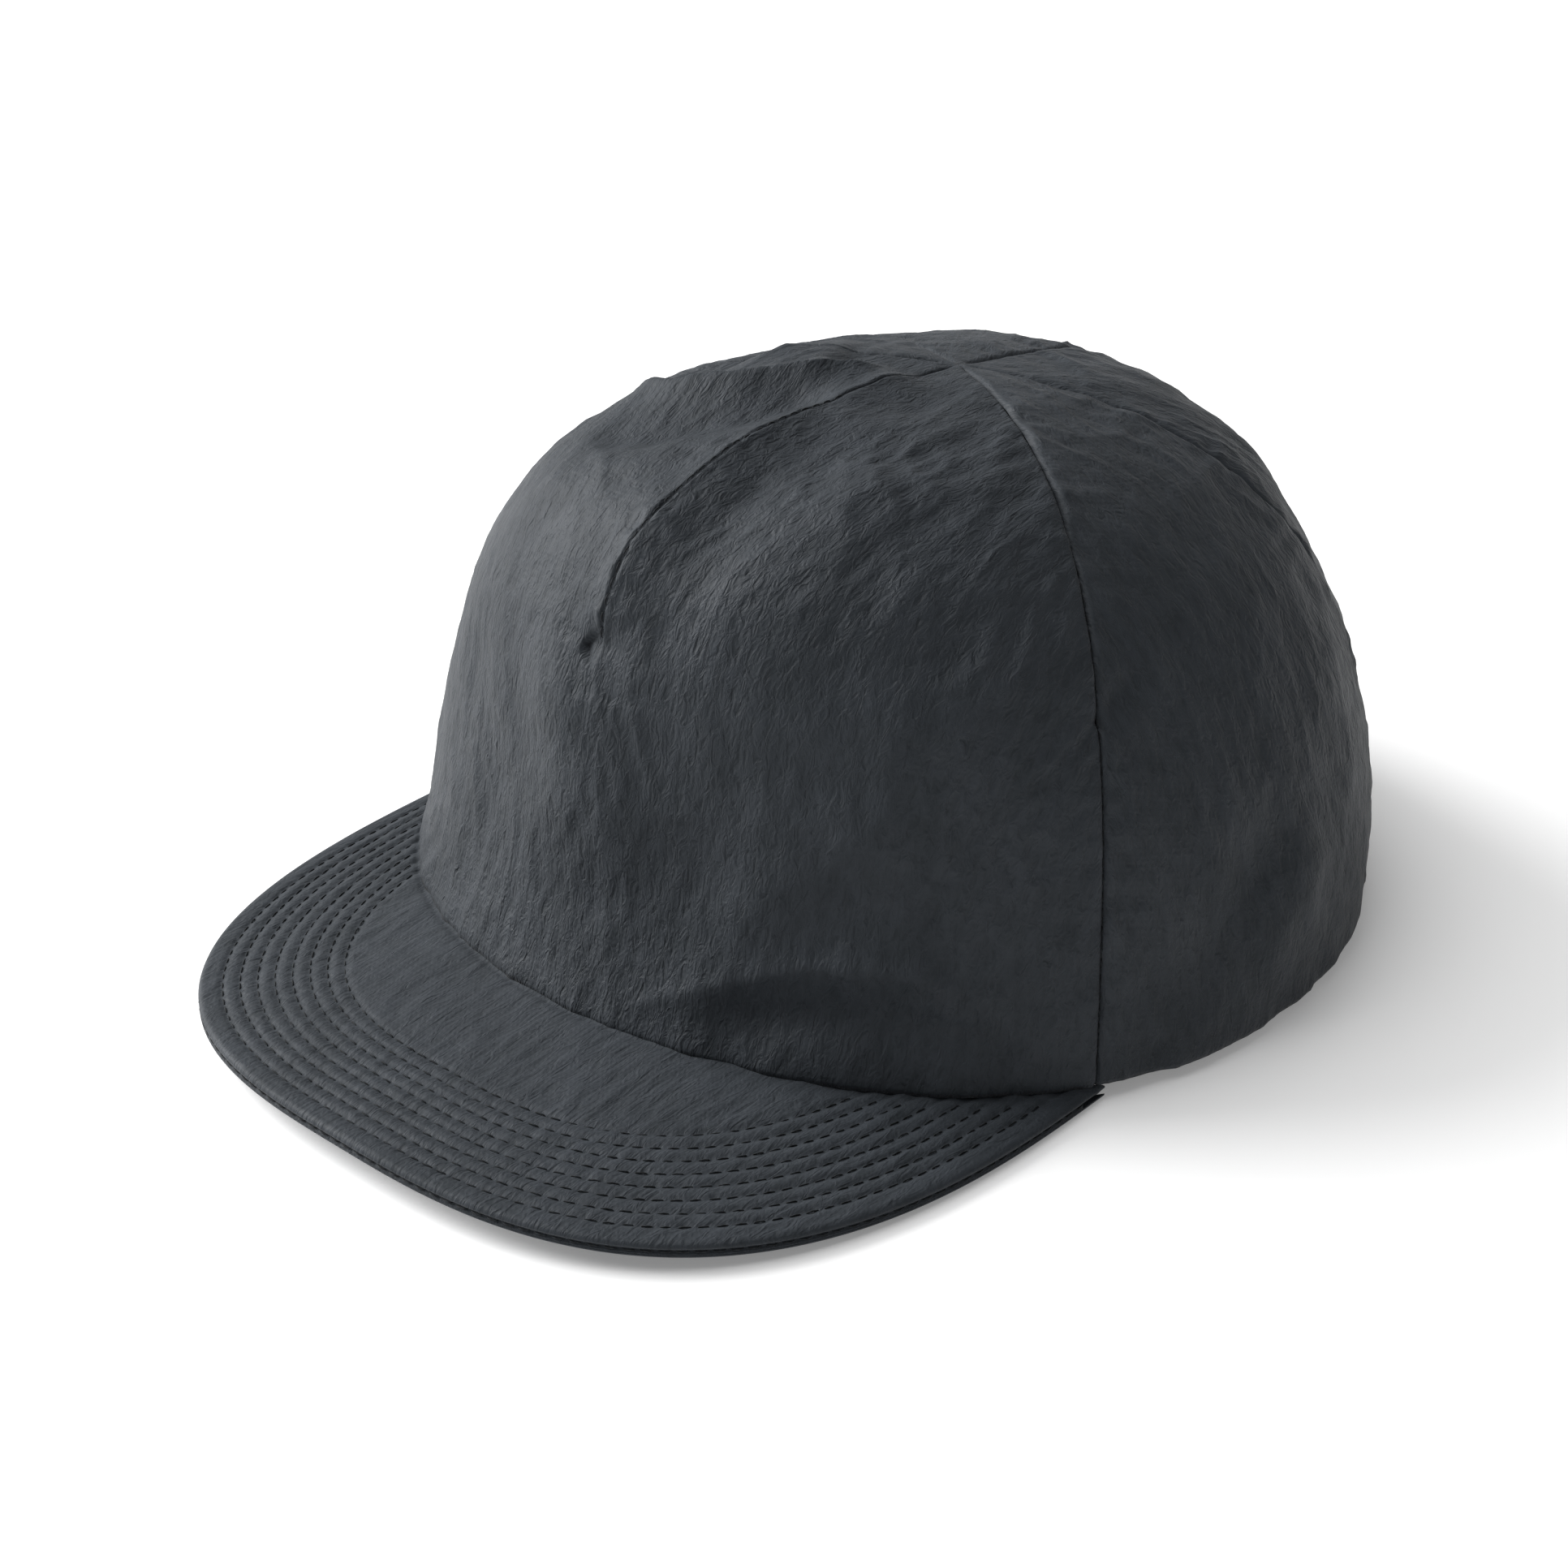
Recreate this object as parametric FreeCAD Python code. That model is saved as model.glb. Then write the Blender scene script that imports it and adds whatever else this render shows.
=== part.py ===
"""Soft five-panel bump cap: a sewn cloth cover, a hard insert with foam pads, and a rear buckle strap.

Front is -Y, the wearer's left is +X, up is +Z.  The origin is the centre of the head opening, on the
plane that the sweatband's lower edge stands on.  Millimetres throughout.

The crown is a family of upright curves.  Each runs from the hem, at one angle round the head, to the
apex, and each is a cubic with two free points between its ends.  Angles are counted from the front
towards +X, and "rise" runs from 0 at the hem to 1 at the apex.
"""
import FreeCAD
import Part
import math
import os

from FreeCAD import Vector

# Cover: size of the hem, and the crown above it
hem_half_width = 92.5
hem_half_length = 94.6
hem_lift = 1.5              # the cloth's edge over the sweatband's lower edge
front_rise = 8.7            # how much higher the hem is over the visor than at the sides
crown_height = 98.0
apex_setback = 17.0         # the seams meet this far behind the middle
wall_lean = (-8.7, -8.5, -11.9)      # lower free point, out from the hem: mean, front to back, sides
wall_rise = (68.5, -19.3, 8.8)       # lower free point, up from the hem: the same three terms
top_reach = (0.727, 0.302, 0.122)    # upper free point, share of the way out to the hem
top_swell = (3.5, -10.7)             # upper free point over the apex: mean, and towards the back

# Seams, as the angle at the hem and the angle at the apex, in degrees
front_seam = (63.0, 69.8)
back_seam = (127.6, 120.3)
dart_seam = (0.0, 0.0)
centre_seam = (180.0, 180.0)
seam_bend = 1.5             # how late along the seam its angle changes
seam_gap = 0.2

# Cloth thicknesses and the pieces sewn inside
cloth = 1.0
ply_gap = 0.15
dart_gap = 0.25             # the same under the dart, where the cloth bends most
tape_width = 12.0
tape_thickness = 0.5
apex_patch_width = 20.0
apex_patch_thickness = 0.8
apex_stop = 0.985           # panels stop here, round a pinhole where the seams cross
fold_height = 10.0
sweatband_height = 28.0
sweatband_thickness = 1.8
sweatband_inset = 2.4       # from the crown's outside to the sweatband, at the front and sides
sweatband_end = 151.0       # degrees from the front
sweatband_shift = (100.0, 120.0)     # between these angles it moves in, to leave room for the strap
strap_room = 2.0

# Visor
visor_length = 49.0
visor_corner = 63.0         # degrees from the front, where the visor meets the hem
visor_squareness = 2.7
visor_edge_height = 8.1     # top of the visor's front edge over the resting plane
visor_gap = 0.1             # between the visor's inner edge and the front panel
visor_cloth = 0.7
visor_board_thickness = 1.4
visor_seam_width = 1.5
visor_play = 0.05

# Rear opening and its strap
arch_radius = 40.0
binding_width = 1.2
binding_proud = 0.5
strap_width = 18.0
strap_middle = 13.0         # height of the strap's middle over the resting plane
strap_thickness = 1.0
strap_inset = 3.12          # from the crown's outside to the middle of the strap
strap_fit_angle = 50.0      # the strap's cone meets that inset at the back and this far round each side
strap_slope_angle = 30.0    # the cone leans as the wall does here
strap_right_end = -50.0     # degrees from the back, towards the wearer's left
strap_overlap = 2.0         # the anchor is sewn on this many degrees past the strap's other end
strap_clearance = 0.35
anchor_thickness = 0.8
anchor_margin = 6.4         # from the anchor's sewn end to the back seam's tape
bartack_angle = 31.0
bartack_width = 2.2
bartack_proud = 0.55
bartack_gap = 0.15

# Buckle, in its own axes: along the strap, out from it, and up
buckle_angle = 9.0
buckle_half_length = 9.5
buckle_rail = 2.4
buckle_depth = 2.4
buckle_wall = 1.0
buckle_front = 4.4
bar_radius = 1.0
bar_place = 10.8
pin_radius = 0.8
pin_place = (-7.0, 2.7)
pin_clearance = 0.05
lever_barrel = 1.7
lever_reach = 7.5
lever_thickness = 1.3
lever_lip = 0.8
side_clearance = 0.4

# Insert
shell_edge_height = 33.0
shell_inset_low = 8.0       # from the crown's outside to the shell, at its edge
shell_inset_top = 5.0
shell_thickness = 2.5
pad_thickness = 6.0
crown_pad_half = 26.0
vent_width = 6.0
vent_height = 20.0
tab_size = 16.0
loop_thickness = 1.8
tab_gap = 0.3
tab_rise = 0.5
tab_angles = (33.0, 95.0, 150.0)


def vary(terms, angle):
    return terms[0] + terms[1] * math.cos(angle) + terms[2] * math.cos(2 * angle)


def hem_height(angle):
    return hem_lift + front_rise * max(math.cos(angle), 0.0) ** 2


def crown_point(angle, rise):
    hem_x = hem_half_width * math.sin(angle)
    hem_y = -hem_half_length * math.cos(angle) - apex_setback
    reach = math.hypot(hem_x, hem_y)
    out_x = hem_x / reach
    out_y = hem_y / reach
    low = hem_height(angle)
    out = (reach, reach + vary(wall_lean, angle), reach * vary(top_reach, angle), 0.0)
    swell = top_swell[0] + top_swell[1] * out_y
    up = (low, low + vary(wall_rise, angle), crown_height + swell, crown_height)
    left = 1.0 - rise
    weights = (left ** 3, 3 * rise * left ** 2, 3 * rise ** 2 * left, rise ** 3)
    radius = sum(weight * value for weight, value in zip(weights, out))
    height = sum(weight * value for weight, value in zip(weights, up))
    return Vector(radius * out_x, apex_setback + radius * out_y, height)


def outward(angle, rise):
    step = 0.002
    across = crown_point(angle + step, rise) - crown_point(angle - step, rise)
    upward = crown_point(angle, min(rise + step, 1.0)) - crown_point(angle, rise - step)
    normal = across.cross(upward)
    normal.normalize()
    return normal


def inset_point(angle, rise, depth):
    return crown_point(angle, rise) - outward(angle, rise) * depth


def solve(function, target, low, high):
    rising = function(high) > function(low)
    for _ in range(40):
        middle = 0.5 * (low + high)
        if (function(middle) < target) == rising:
            low = middle
        else:
            high = middle
    return 0.5 * (low + high)


def rise_at(angle, height):
    if height <= hem_height(angle):
        return 0.0
    return solve(lambda rise: crown_point(angle, rise).z, height, 0.0, 0.6)


def wall_point(angle, height, depth):
    rise = rise_at(angle, height)
    on_wall = crown_point(angle, rise)
    away = outward(angle, rise)
    away.z = 0.0
    away.normalize()
    return Vector(on_wall.x - away.x * depth, on_wall.y - away.y * depth, height)


def axis_distance(angle, rise):
    point = crown_point(angle, rise)
    return math.hypot(point.x, point.y - apex_setback)


def plan_point(x, y, depth):
    """The point of a layer over a place in plan near the apex."""
    def bearing(angle):
        return math.atan2(hem_half_width * math.sin(angle), hem_half_length * math.cos(angle) + apex_setback)

    angle = solve(bearing, math.atan2(x, apex_setback - y), -math.pi, math.pi)
    radius = math.hypot(x, y - apex_setback)
    return inset_point(angle, solve(lambda rise: axis_distance(angle, rise), radius, 0.3, 1.0), depth)


def seam_angle(seam, side, rise):
    return math.radians(side * (seam[0] + (seam[1] - seam[0]) * rise ** seam_bend))


def spread(low, high, count):
    return [low + (high - low) * step / (count - 1) for step in range(count)]


def crowd(low, high, count):
    """Like spread, but closer together towards the high end, where the crown turns over."""
    return [high - (high - low) * (1.0 - share) ** 1.7 for share in spread(0, 1, count)]


def face_through(place, across, along, depth):
    surface = Part.BSplineSurface()
    surface.interpolate([[place(a, b, depth) for b in along] for a in across])
    return surface.toShape()


def layer(place, across, along, outer_depth, inner_depth):
    """A curved sheet between two depths, closed by ruled walls along its four sides."""
    outer = face_through(place, across, along, outer_depth)
    inner = face_through(place, across, along, inner_depth)
    walls = [Part.makeRuledSurface(edge, twin) for edge, twin in zip(outer.Edges, inner.Edges)]
    shell = Part.makeShell([outer, inner] + walls)
    shell.sewShape()
    solid = Part.makeSolid(shell)
    if solid.Volume < 0:
        solid.reverse()
    return solid


def save(name, shape):
    solids = shape.Solids
    sound = shape.isValid() and all(solid.Volume > 0 for solid in solids)
    print(name, len(solids), "solid(s)", round(shape.Volume / 1000, 3), "cm3", "" if sound else "NOT SOUND")
    shape.exportStep("parts/" + name + ".step")


# Cover panels
def arch_cutter(radius):
    profile = Part.Face(Part.Wire(Part.makeCircle(radius, Vector(0, 0, hem_lift), Vector(0, 1, 0))))
    return profile.extrude(Vector(0, 2 * hem_half_length, 0))


def panel(first, first_side, last, last_side):
    def place(across, rise, depth):
        start = seam_angle(first, first_side, rise)
        end = seam_angle(last, last_side, rise)
        margin = 0.5 * seam_gap / axis_distance(0.5 * (start + end), rise)
        start += 0.0 if first is dart_seam else margin
        end -= 0.0 if last is dart_seam else margin
        return inset_point(start + (end - start) * across, rise, depth)

    return layer(place, spread(0, 1, 13), crowd(0, apex_stop, 19), 0.0, cloth)


def tape(seam, side, low_rise, gap=ply_gap):
    def place(across, rise, depth):
        middle = seam_angle(seam, side, rise)
        return inset_point(middle + across / axis_distance(middle, rise), rise, depth)

    half = 0.5 * tape_width
    outer = cloth + gap
    return layer(place, spread(-half, half, 5), crowd(low_rise, 0.9, 15), outer, outer + tape_thickness)


def make_cover():
    cutter = arch_cutter(arch_radius + 0.1)
    right_half = panel(front_seam, -1, dart_seam, 1)
    save("front_panel", right_half.fuse(panel(dart_seam, 1, front_seam, 1)))
    save("left_side_panel", panel(front_seam, 1, back_seam, 1))
    save("right_side_panel", panel(back_seam, -1, front_seam, -1))
    save("left_back_panel", panel(back_seam, 1, centre_seam, 1).cut(cutter))
    save("right_back_panel", panel(centre_seam, -1, back_seam, -1).cut(cutter))
    save("front_dart_tape", tape(dart_seam, 1, 0.13, dart_gap))
    save("left_front_seam_tape", tape(front_seam, 1, 0.13))
    save("right_front_seam_tape", tape(front_seam, -1, 0.13))
    save("left_back_seam_tape", tape(back_seam, 1, 0.02))
    save("right_back_seam_tape", tape(back_seam, -1, 0.02))
    arch_top = rise_at(math.pi, hem_lift + arch_radius + 2.0)
    save("back_centre_seam_tape", tape(centre_seam, 1, arch_top))
    half = 0.5 * apex_patch_width
    outer = cloth + tape_thickness + 3 * ply_gap
    across = spread(-half, half, 7)
    along = spread(apex_setback - half, apex_setback + half, 7)
    save("apex_patch", layer(plan_point, across, along, outer, outer + apex_patch_thickness))


def band_shift(angle):
    low, high = sweatband_shift
    share = min(max((abs(math.degrees(angle)) - low) / (high - low), 0.0), 1.0)
    return share * share * (3 - 2 * share)


def make_band():
    def band(angle, height, depth):
        lift = hem_height(angle) - hem_lift
        return wall_point(angle, lift + height, depth + band_shift(angle) * strap_room)

    end = math.radians(sweatband_end)
    inner = sweatband_inset + sweatband_thickness
    heights = spread(0.0, sweatband_height, 5)
    save("sweatband", layer(band, spread(-end, end, 61), heights, sweatband_inset, inner))

    def fold(angle, height, depth):
        return wall_point(angle, hem_height(angle) + height, depth)

    end = math.radians(sweatband_shift[0] - 2.0)
    heights = spread(0.0, fold_height, 3)
    outer = cloth + 2 * ply_gap
    save("hem_fold", layer(fold, spread(-end, end, 41), heights, outer, sweatband_inset - ply_gap))


def make_binding():
    def place(turn, across, depth):
        radius = arch_radius - across
        target_x = radius * math.cos(turn)
        height = hem_lift + radius * math.sin(turn)

        def x_at(angle):
            return crown_point(angle, rise_at(angle, height)).x

        angle = solve(x_at, target_x, 0.6 * math.pi, 1.4 * math.pi)
        return inset_point(angle, rise_at(angle, height), depth)

    turns = spread(0.0, math.pi, 25)
    save("rear_arch_binding", layer(place, turns, spread(0.0, binding_width, 3), -binding_proud, cloth))


# Visor
corner_x = hem_half_width * math.sin(math.radians(visor_corner))
corner_y = -hem_half_length * math.cos(math.radians(visor_corner))


def hem_y(x):
    return -hem_half_length * math.sqrt(1.0 - (x / hem_half_width) ** 2)


def hem_z(x):
    return hem_lift + front_rise * (1.0 - (x / hem_half_width) ** 2)


def outline(angle, inset):
    power = visor_squareness
    size = (abs(math.sin(angle)) ** power + abs(math.cos(angle)) ** power) ** (-1.0 / power)
    depth = corner_y + hem_half_length + visor_length - inset
    return (corner_x - inset) * math.sin(angle) * size, corner_y - depth * math.cos(angle) * size


def visor_height(x, y, front_y):
    edge = hem_z(corner_x) + (visor_edge_height - hem_z(corner_x)) * (1.0 - (x / corner_x) ** 2)
    share = (y - front_y) / (hem_y(x) - front_y)
    return edge + (hem_z(x) - edge) * share


def visor_turns(inset, count):
    """Angles along the outline from one corner to the other, where it stays clear in front of the hem."""
    def room(angle):
        x, y = outline(angle, inset)
        return hem_y(x) - y

    end = solve(room, 1.0, 0.3 * math.pi, 0.5 * math.pi)
    return spread(-end, end, count)


def visor_sheet(name, inset, top, thickness):
    def place(turn, share, drop):
        x, front = outline(turn, inset)
        _, full_front = outline(turn, 0.0)
        back = hem_y(x) - visor_gap
        y = back + (front - back) * share
        return Vector(x, y, visor_height(x, y, full_front) - drop)

    save(name, layer(place, visor_turns(inset, 33), spread(0, 1, 7), top, top + thickness))


def make_visor():
    board_top = visor_cloth + 2 * visor_play
    board_bottom = board_top + visor_board_thickness
    visor_sheet("visor_top_cover", 0.0, visor_play, visor_cloth)
    visor_sheet("visor_board", visor_seam_width + visor_play, board_top, visor_board_thickness)
    visor_sheet("visor_under_cover", 0.0, board_bottom + visor_play, visor_cloth)

    def rim(turn, share, drop):
        x, front = outline(turn, visor_seam_width * share)
        _, full_front = outline(turn, 0.0)
        return Vector(x, front, visor_height(x, front, full_front) - drop)

    turns = visor_turns(visor_seam_width, 33)
    rim_top = board_top + visor_play
    rim_bottom = board_bottom - visor_play
    save("visor_edge_seam", layer(rim, turns, spread(0, 1, 3), rim_top, rim_bottom))


# Rear strap and buckle
def strap_cone():
    """Where the axis of the strap's cone stands, its radius at the resting plane, and its taper."""
    back = wall_point(math.pi, strap_middle, strap_inset)
    side = wall_point(math.pi - math.radians(strap_fit_angle), strap_middle, strap_inset)
    axis_y = (back.y ** 2 - side.x ** 2 - side.y ** 2) / (2 * (back.y - side.y))

    def reach(degrees, height):
        spot = wall_point(math.pi - math.radians(degrees), height, strap_inset)
        return math.hypot(spot.x, spot.y - axis_y)

    low, high = [reach(strap_slope_angle, strap_middle + step * strap_width) for step in (-0.5, 0.5)]
    taper = (low - high) / strap_width
    radius = min(reach(degrees, strap_middle) for degrees in spread(0.0, strap_fit_angle, 6))
    return axis_y, radius + taper * strap_middle, taper


def anchor_place():
    """Degrees from the back to the anchor's sewn end, short of the tape inside the back seam."""
    seam = wall_point(seam_angle(back_seam, 1, 0.0), strap_middle, strap_inset)
    room = 0.5 * tape_width + anchor_margin
    return math.degrees(math.atan2(seam.x, seam.y - strap_axis_y) - room / strap_radius)


strap_axis_y, strap_radius, strap_taper = strap_cone()
anchor_end = anchor_place()
strap_left_end = anchor_end - strap_overlap


def on_cone(degrees, height, out):
    angle = math.radians(degrees)
    radius = strap_radius - strap_taper * height + out
    return Vector(radius * math.sin(angle), strap_axis_y + radius * math.cos(angle), height)


def strap_layer(start, end, inner, outer):
    low = strap_middle - 0.5 * strap_width
    return layer(on_cone, spread(start, end, 17), spread(low, low + strap_width, 3), outer, inner)


def buckle_placement():
    angle = math.radians(buckle_angle)
    along = Vector(math.cos(angle), -math.sin(angle), 0)
    out = Vector(math.sin(angle), math.cos(angle), strap_taper)
    out.normalize()
    up = along.cross(out)
    spot = on_cone(buckle_angle, strap_middle, 0.0)
    rows = []
    for axis in ("x", "y", "z"):
        rows += [getattr(vector, axis) for vector in (along, out, up, spot)]
    return FreeCAD.Placement(FreeCAD.Matrix(*rows, 0, 0, 0, 1))


def block(low, high):
    size = [top - bottom for bottom, top in zip(low, high)]
    return Part.makeBox(*size, Vector(*low))


def post(x, y, radius, half):
    return Part.makeCylinder(radius, 2 * half, Vector(x, y, -half), Vector(0, 0, 1))


def sagitta(x):
    return x * x / (2.0 * strap_radius)


def make_strap():
    half_strap = 0.5 * strap_width
    half_thick = 0.5 * strap_thickness
    inside = half_strap + side_clearance
    outside = inside + buckle_rail
    right = bar_place + bar_radius + 0.8
    back = -half_thick - sagitta(buckle_half_length) - strap_clearance - buckle_wall
    frame = block((-buckle_half_length, back, inside), (right, buckle_front, outside))
    frame = frame.fuse(block((-buckle_half_length, back, -outside), (right, buckle_front, -inside)))
    for start in (-buckle_half_length, buckle_half_length - 2.5):
        frame = frame.fuse(block((start, back, -outside), (start + 2.5, back + buckle_wall, outside)))
    anchor_inner = half_thick + strap_clearance
    loop_inner = bar_radius + 0.15
    loop_outer = loop_inner + anchor_thickness
    bar_y = anchor_inner - sagitta(bar_place) + loop_outer
    frame = frame.fuse(post(bar_place, bar_y, bar_radius, outside))
    frame = frame.cut(post(pin_place[0], pin_place[1], pin_radius + 0.02, outside + 1.0)).removeSplitter()
    place = buckle_placement()

    loop = post(bar_place, bar_y, loop_outer, half_strap)
    loop = loop.cut(post(bar_place, bar_y, loop_inner, half_strap + 1.0))
    loop.Placement = place
    start = buckle_angle + math.degrees(math.asin(bar_place / strap_radius))
    strip = strap_layer(start, anchor_end, anchor_inner, anchor_inner + anchor_thickness)
    save("strap_anchor", strip.fuse(loop))

    pin = post(pin_place[0], pin_place[1], pin_radius, outside)
    lever = post(pin_place[0], pin_place[1], lever_barrel, half_strap + 0.1)
    top = pin_place[1] + lever_barrel - 0.2
    bottom = top - lever_thickness
    half = half_strap + 0.1
    lever = lever.fuse(block((pin_place[0], bottom, -half), (lever_reach, top, half)))
    lever = lever.fuse(block((lever_reach - 1.2, top, -half), (lever_reach, top + lever_lip, half)))
    ridge = pin_place[0] + 0.6
    lever = lever.fuse(block((ridge, half_thick + strap_clearance, -half), (ridge + 1.8, top, half)))
    lever = lever.cut(post(pin_place[0], pin_place[1], pin_radius + pin_clearance, half + 1.0))
    lever = lever.removeSplitter()
    for name, piece in (("buckle_frame", frame), ("buckle_pin", pin), ("buckle_lever", lever)):
        piece.Placement = place
        save(name, piece)

    axle = place.multVec(Vector(pin_place[0], pin_place[1], 0.0))
    print("strap turns about y", strap_axis_y, "radius", strap_radius, "taper", strap_taper)
    print("anchor ends at", anchor_end)
    print("lever turns about", list(axle), "along", list(place.Rotation.multVec(Vector(0, 0, 1))))
    save("adjuster_strap", strap_layer(strap_right_end, strap_left_end, -half_thick, half_thick))

    def tack(degrees, height, depth):
        return wall_point(math.radians(180.0 - degrees), height, depth)

    low = strap_middle - 0.5 * strap_width + 1.0
    half = math.degrees(0.5 * bartack_width / strap_radius)
    tacks = []
    for side in (-1, 1):
        middle = side * bartack_angle
        heights = spread(low, low + strap_width - 2.0, 4)
        tacks.append(layer(tack, spread(middle - half, middle + half, 3), heights, -bartack_proud, -bartack_gap))
    save("strap_bartacks", Part.makeCompound(tacks))


# Insert
def shell_inset(share):
    return shell_inset_top + (shell_inset_low - shell_inset_top) * (1.0 - share) ** 3


def shell_rise(angle, share):
    edge = rise_at(angle, shell_edge_height + front_rise * max(math.cos(angle), 0.0) ** 2)
    return edge + (apex_stop - edge) * share


def shell_point(angle, share, depth):
    return inset_point(angle, shell_rise(angle, share), shell_inset(share) + depth)


def pad(name, start, end, low, high):
    outer = shell_thickness + ply_gap
    across = [math.radians(value) for value in spread(start, end, 9)]
    save(name, layer(shell_point, across, spread(low, high, 7), outer, outer + pad_thickness))


def make_insert():
    halves = []
    for start in (0.0, math.pi):
        across = spread(start, start + math.pi, 25)
        halves.append(layer(shell_point, across, crowd(0, 1, 17), 0.0, shell_thickness))
    shell = halves[0].fuse(halves[1])
    for degrees in (50.0, 132.0, -132.0, -50.0):
        angle = math.radians(degrees)
        middle = shell_point(angle, 0.3, 0.0)
        slot = Part.makeBox(40.0, vent_width, vent_height, Vector(-20.0, -0.5 * vent_width, -0.5 * vent_height))
        slot.Placement = FreeCAD.Placement(middle, FreeCAD.Rotation(Vector(0, 0, 1), degrees - 90.0))
        shell = shell.cut(slot)
    save("impact_shell", shell)
    pad("front_pad", -40.0, 40.0, 0.05, 0.5)
    pad("left_pad", 62.0, 118.0, 0.05, 0.5)
    pad("right_pad", -118.0, -62.0, 0.05, 0.5)
    pad("rear_pad", 146.0, 214.0, 0.05, 0.5)
    outer = shell_inset_top + shell_thickness + 4 * ply_gap
    across = spread(-crown_pad_half, crown_pad_half, 9)
    along = spread(apex_setback - crown_pad_half, apex_setback + crown_pad_half, 9)
    save("crown_pad", layer(plan_point, across, along, outer, outer + pad_thickness))

    loops = []
    hooks = []
    half = 0.5 * tab_size
    loop_outer = cloth + ply_gap
    for degrees in tab_angles:
        for side in (-1, 1):
            middle = math.radians(side * degrees)

            def tab(across, up, depth):
                share = tab_rise + up / 130.0
                rise = shell_rise(middle, share)
                return inset_point(middle + across / axis_distance(middle, rise), rise, depth)

            across = spread(-half, half, 4)
            loops.append(layer(tab, across, across, loop_outer, loop_outer + loop_thickness))
            hook_outer = loop_outer + loop_thickness + tab_gap
            hooks.append(layer(tab, across, across, hook_outer, shell_inset(tab_rise + half / 130.0) - 0.05))
    save("loop_tabs", Part.makeCompound(loops))
    save("hook_tabs", Part.makeCompound(hooks))


os.makedirs("parts", exist_ok=True)
make_cover()
make_band()
make_binding()
make_visor()
make_strap()
make_insert()
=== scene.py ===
import math

import bmesh
import bpy
import numpy as np
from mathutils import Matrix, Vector


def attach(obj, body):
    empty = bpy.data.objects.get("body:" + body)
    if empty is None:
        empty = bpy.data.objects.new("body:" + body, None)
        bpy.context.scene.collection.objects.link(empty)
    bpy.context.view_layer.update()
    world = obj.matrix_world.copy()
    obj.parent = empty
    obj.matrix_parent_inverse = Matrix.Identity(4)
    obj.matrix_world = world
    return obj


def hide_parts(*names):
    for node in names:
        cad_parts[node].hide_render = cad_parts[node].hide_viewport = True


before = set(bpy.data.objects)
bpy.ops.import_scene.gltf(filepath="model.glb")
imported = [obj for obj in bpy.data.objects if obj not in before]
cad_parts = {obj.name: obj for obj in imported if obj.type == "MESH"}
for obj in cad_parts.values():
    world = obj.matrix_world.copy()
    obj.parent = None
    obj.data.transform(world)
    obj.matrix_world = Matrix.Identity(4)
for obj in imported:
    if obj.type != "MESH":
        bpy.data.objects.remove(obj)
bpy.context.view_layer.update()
mm = 0.001
print("frame loaded:", len(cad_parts), "nodes")

# Camera and light
view = {"azimuth": 41.735, "elevation": 29.012, "distance": 640.5,
        "target": (-57.8, 32.7, -19.7), "lens": 66.19}


def awayFrom(azimuth, elevation):
    # unit vector from the cap towards a viewer at this bearing; 0 looks along +Y
    a, e = math.radians(azimuth), math.radians(elevation)
    return Vector((math.sin(a) * math.cos(e), -math.cos(a) * math.cos(e), math.sin(e)))


camera = bpy.data.objects.new("camera", bpy.data.cameras.new("camera"))
camera.data.lens = view["lens"]
camera.data.sensor_width = 36.0
camera.data.clip_start = 0.01
back = awayFrom(view["azimuth"], view["elevation"])
camera.location = (Vector(view["target"]) + back * view["distance"]) * mm
camera.rotation_euler = back.to_track_quat("Z", "Y").to_euler()
bpy.context.scene.collection.objects.link(camera)
bpy.context.scene.camera = camera
bpy.context.scene.view_settings.view_transform = "Standard"

# broad lamps far off: spread is how wide each looks from the cap, in degrees
lights = {
    "keyPanel": {"azimuth": -72, "elevation": 27, "strength": 4.9, "spread": 44},
    "topPanel": {"azimuth": -62, "elevation": 62, "strength": 2.1, "spread": 60},
    "room": 0.17,
}


def makeLights():
    for name in ("keyPanel", "topPanel"):
        spec = lights[name]
        lamp = bpy.data.lights.new(name, "SUN")
        lamp.angle = math.radians(spec["spread"])
        lamp.energy = spec["strength"]
        lampObject = show(bpy.data.objects.new(name, lamp))
        direction = awayFrom(spec["azimuth"], spec["elevation"])
        lampObject.location = direction + Vector((0, 0, 0.04))
        lampObject.rotation_euler = direction.to_track_quat("Z", "Y").to_euler()


# Small tools for surfaces
def gridOf(rows, columns):
    return np.meshgrid(rows, columns, indexing="ij")


def show(piece):
    bpy.context.scene.collection.objects.link(piece)
    return piece


def linearColour(hexText):
    # sRGB hex to the linear values that shaders take
    channels = [int(hexText[i:i + 2], 16) / 255.0 for i in (1, 3, 5)]
    return tuple(c / 12.92 if c <= 0.04045 else ((c + 0.055) / 1.055) ** 2.4 for c in channels) + (1.0,)


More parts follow.
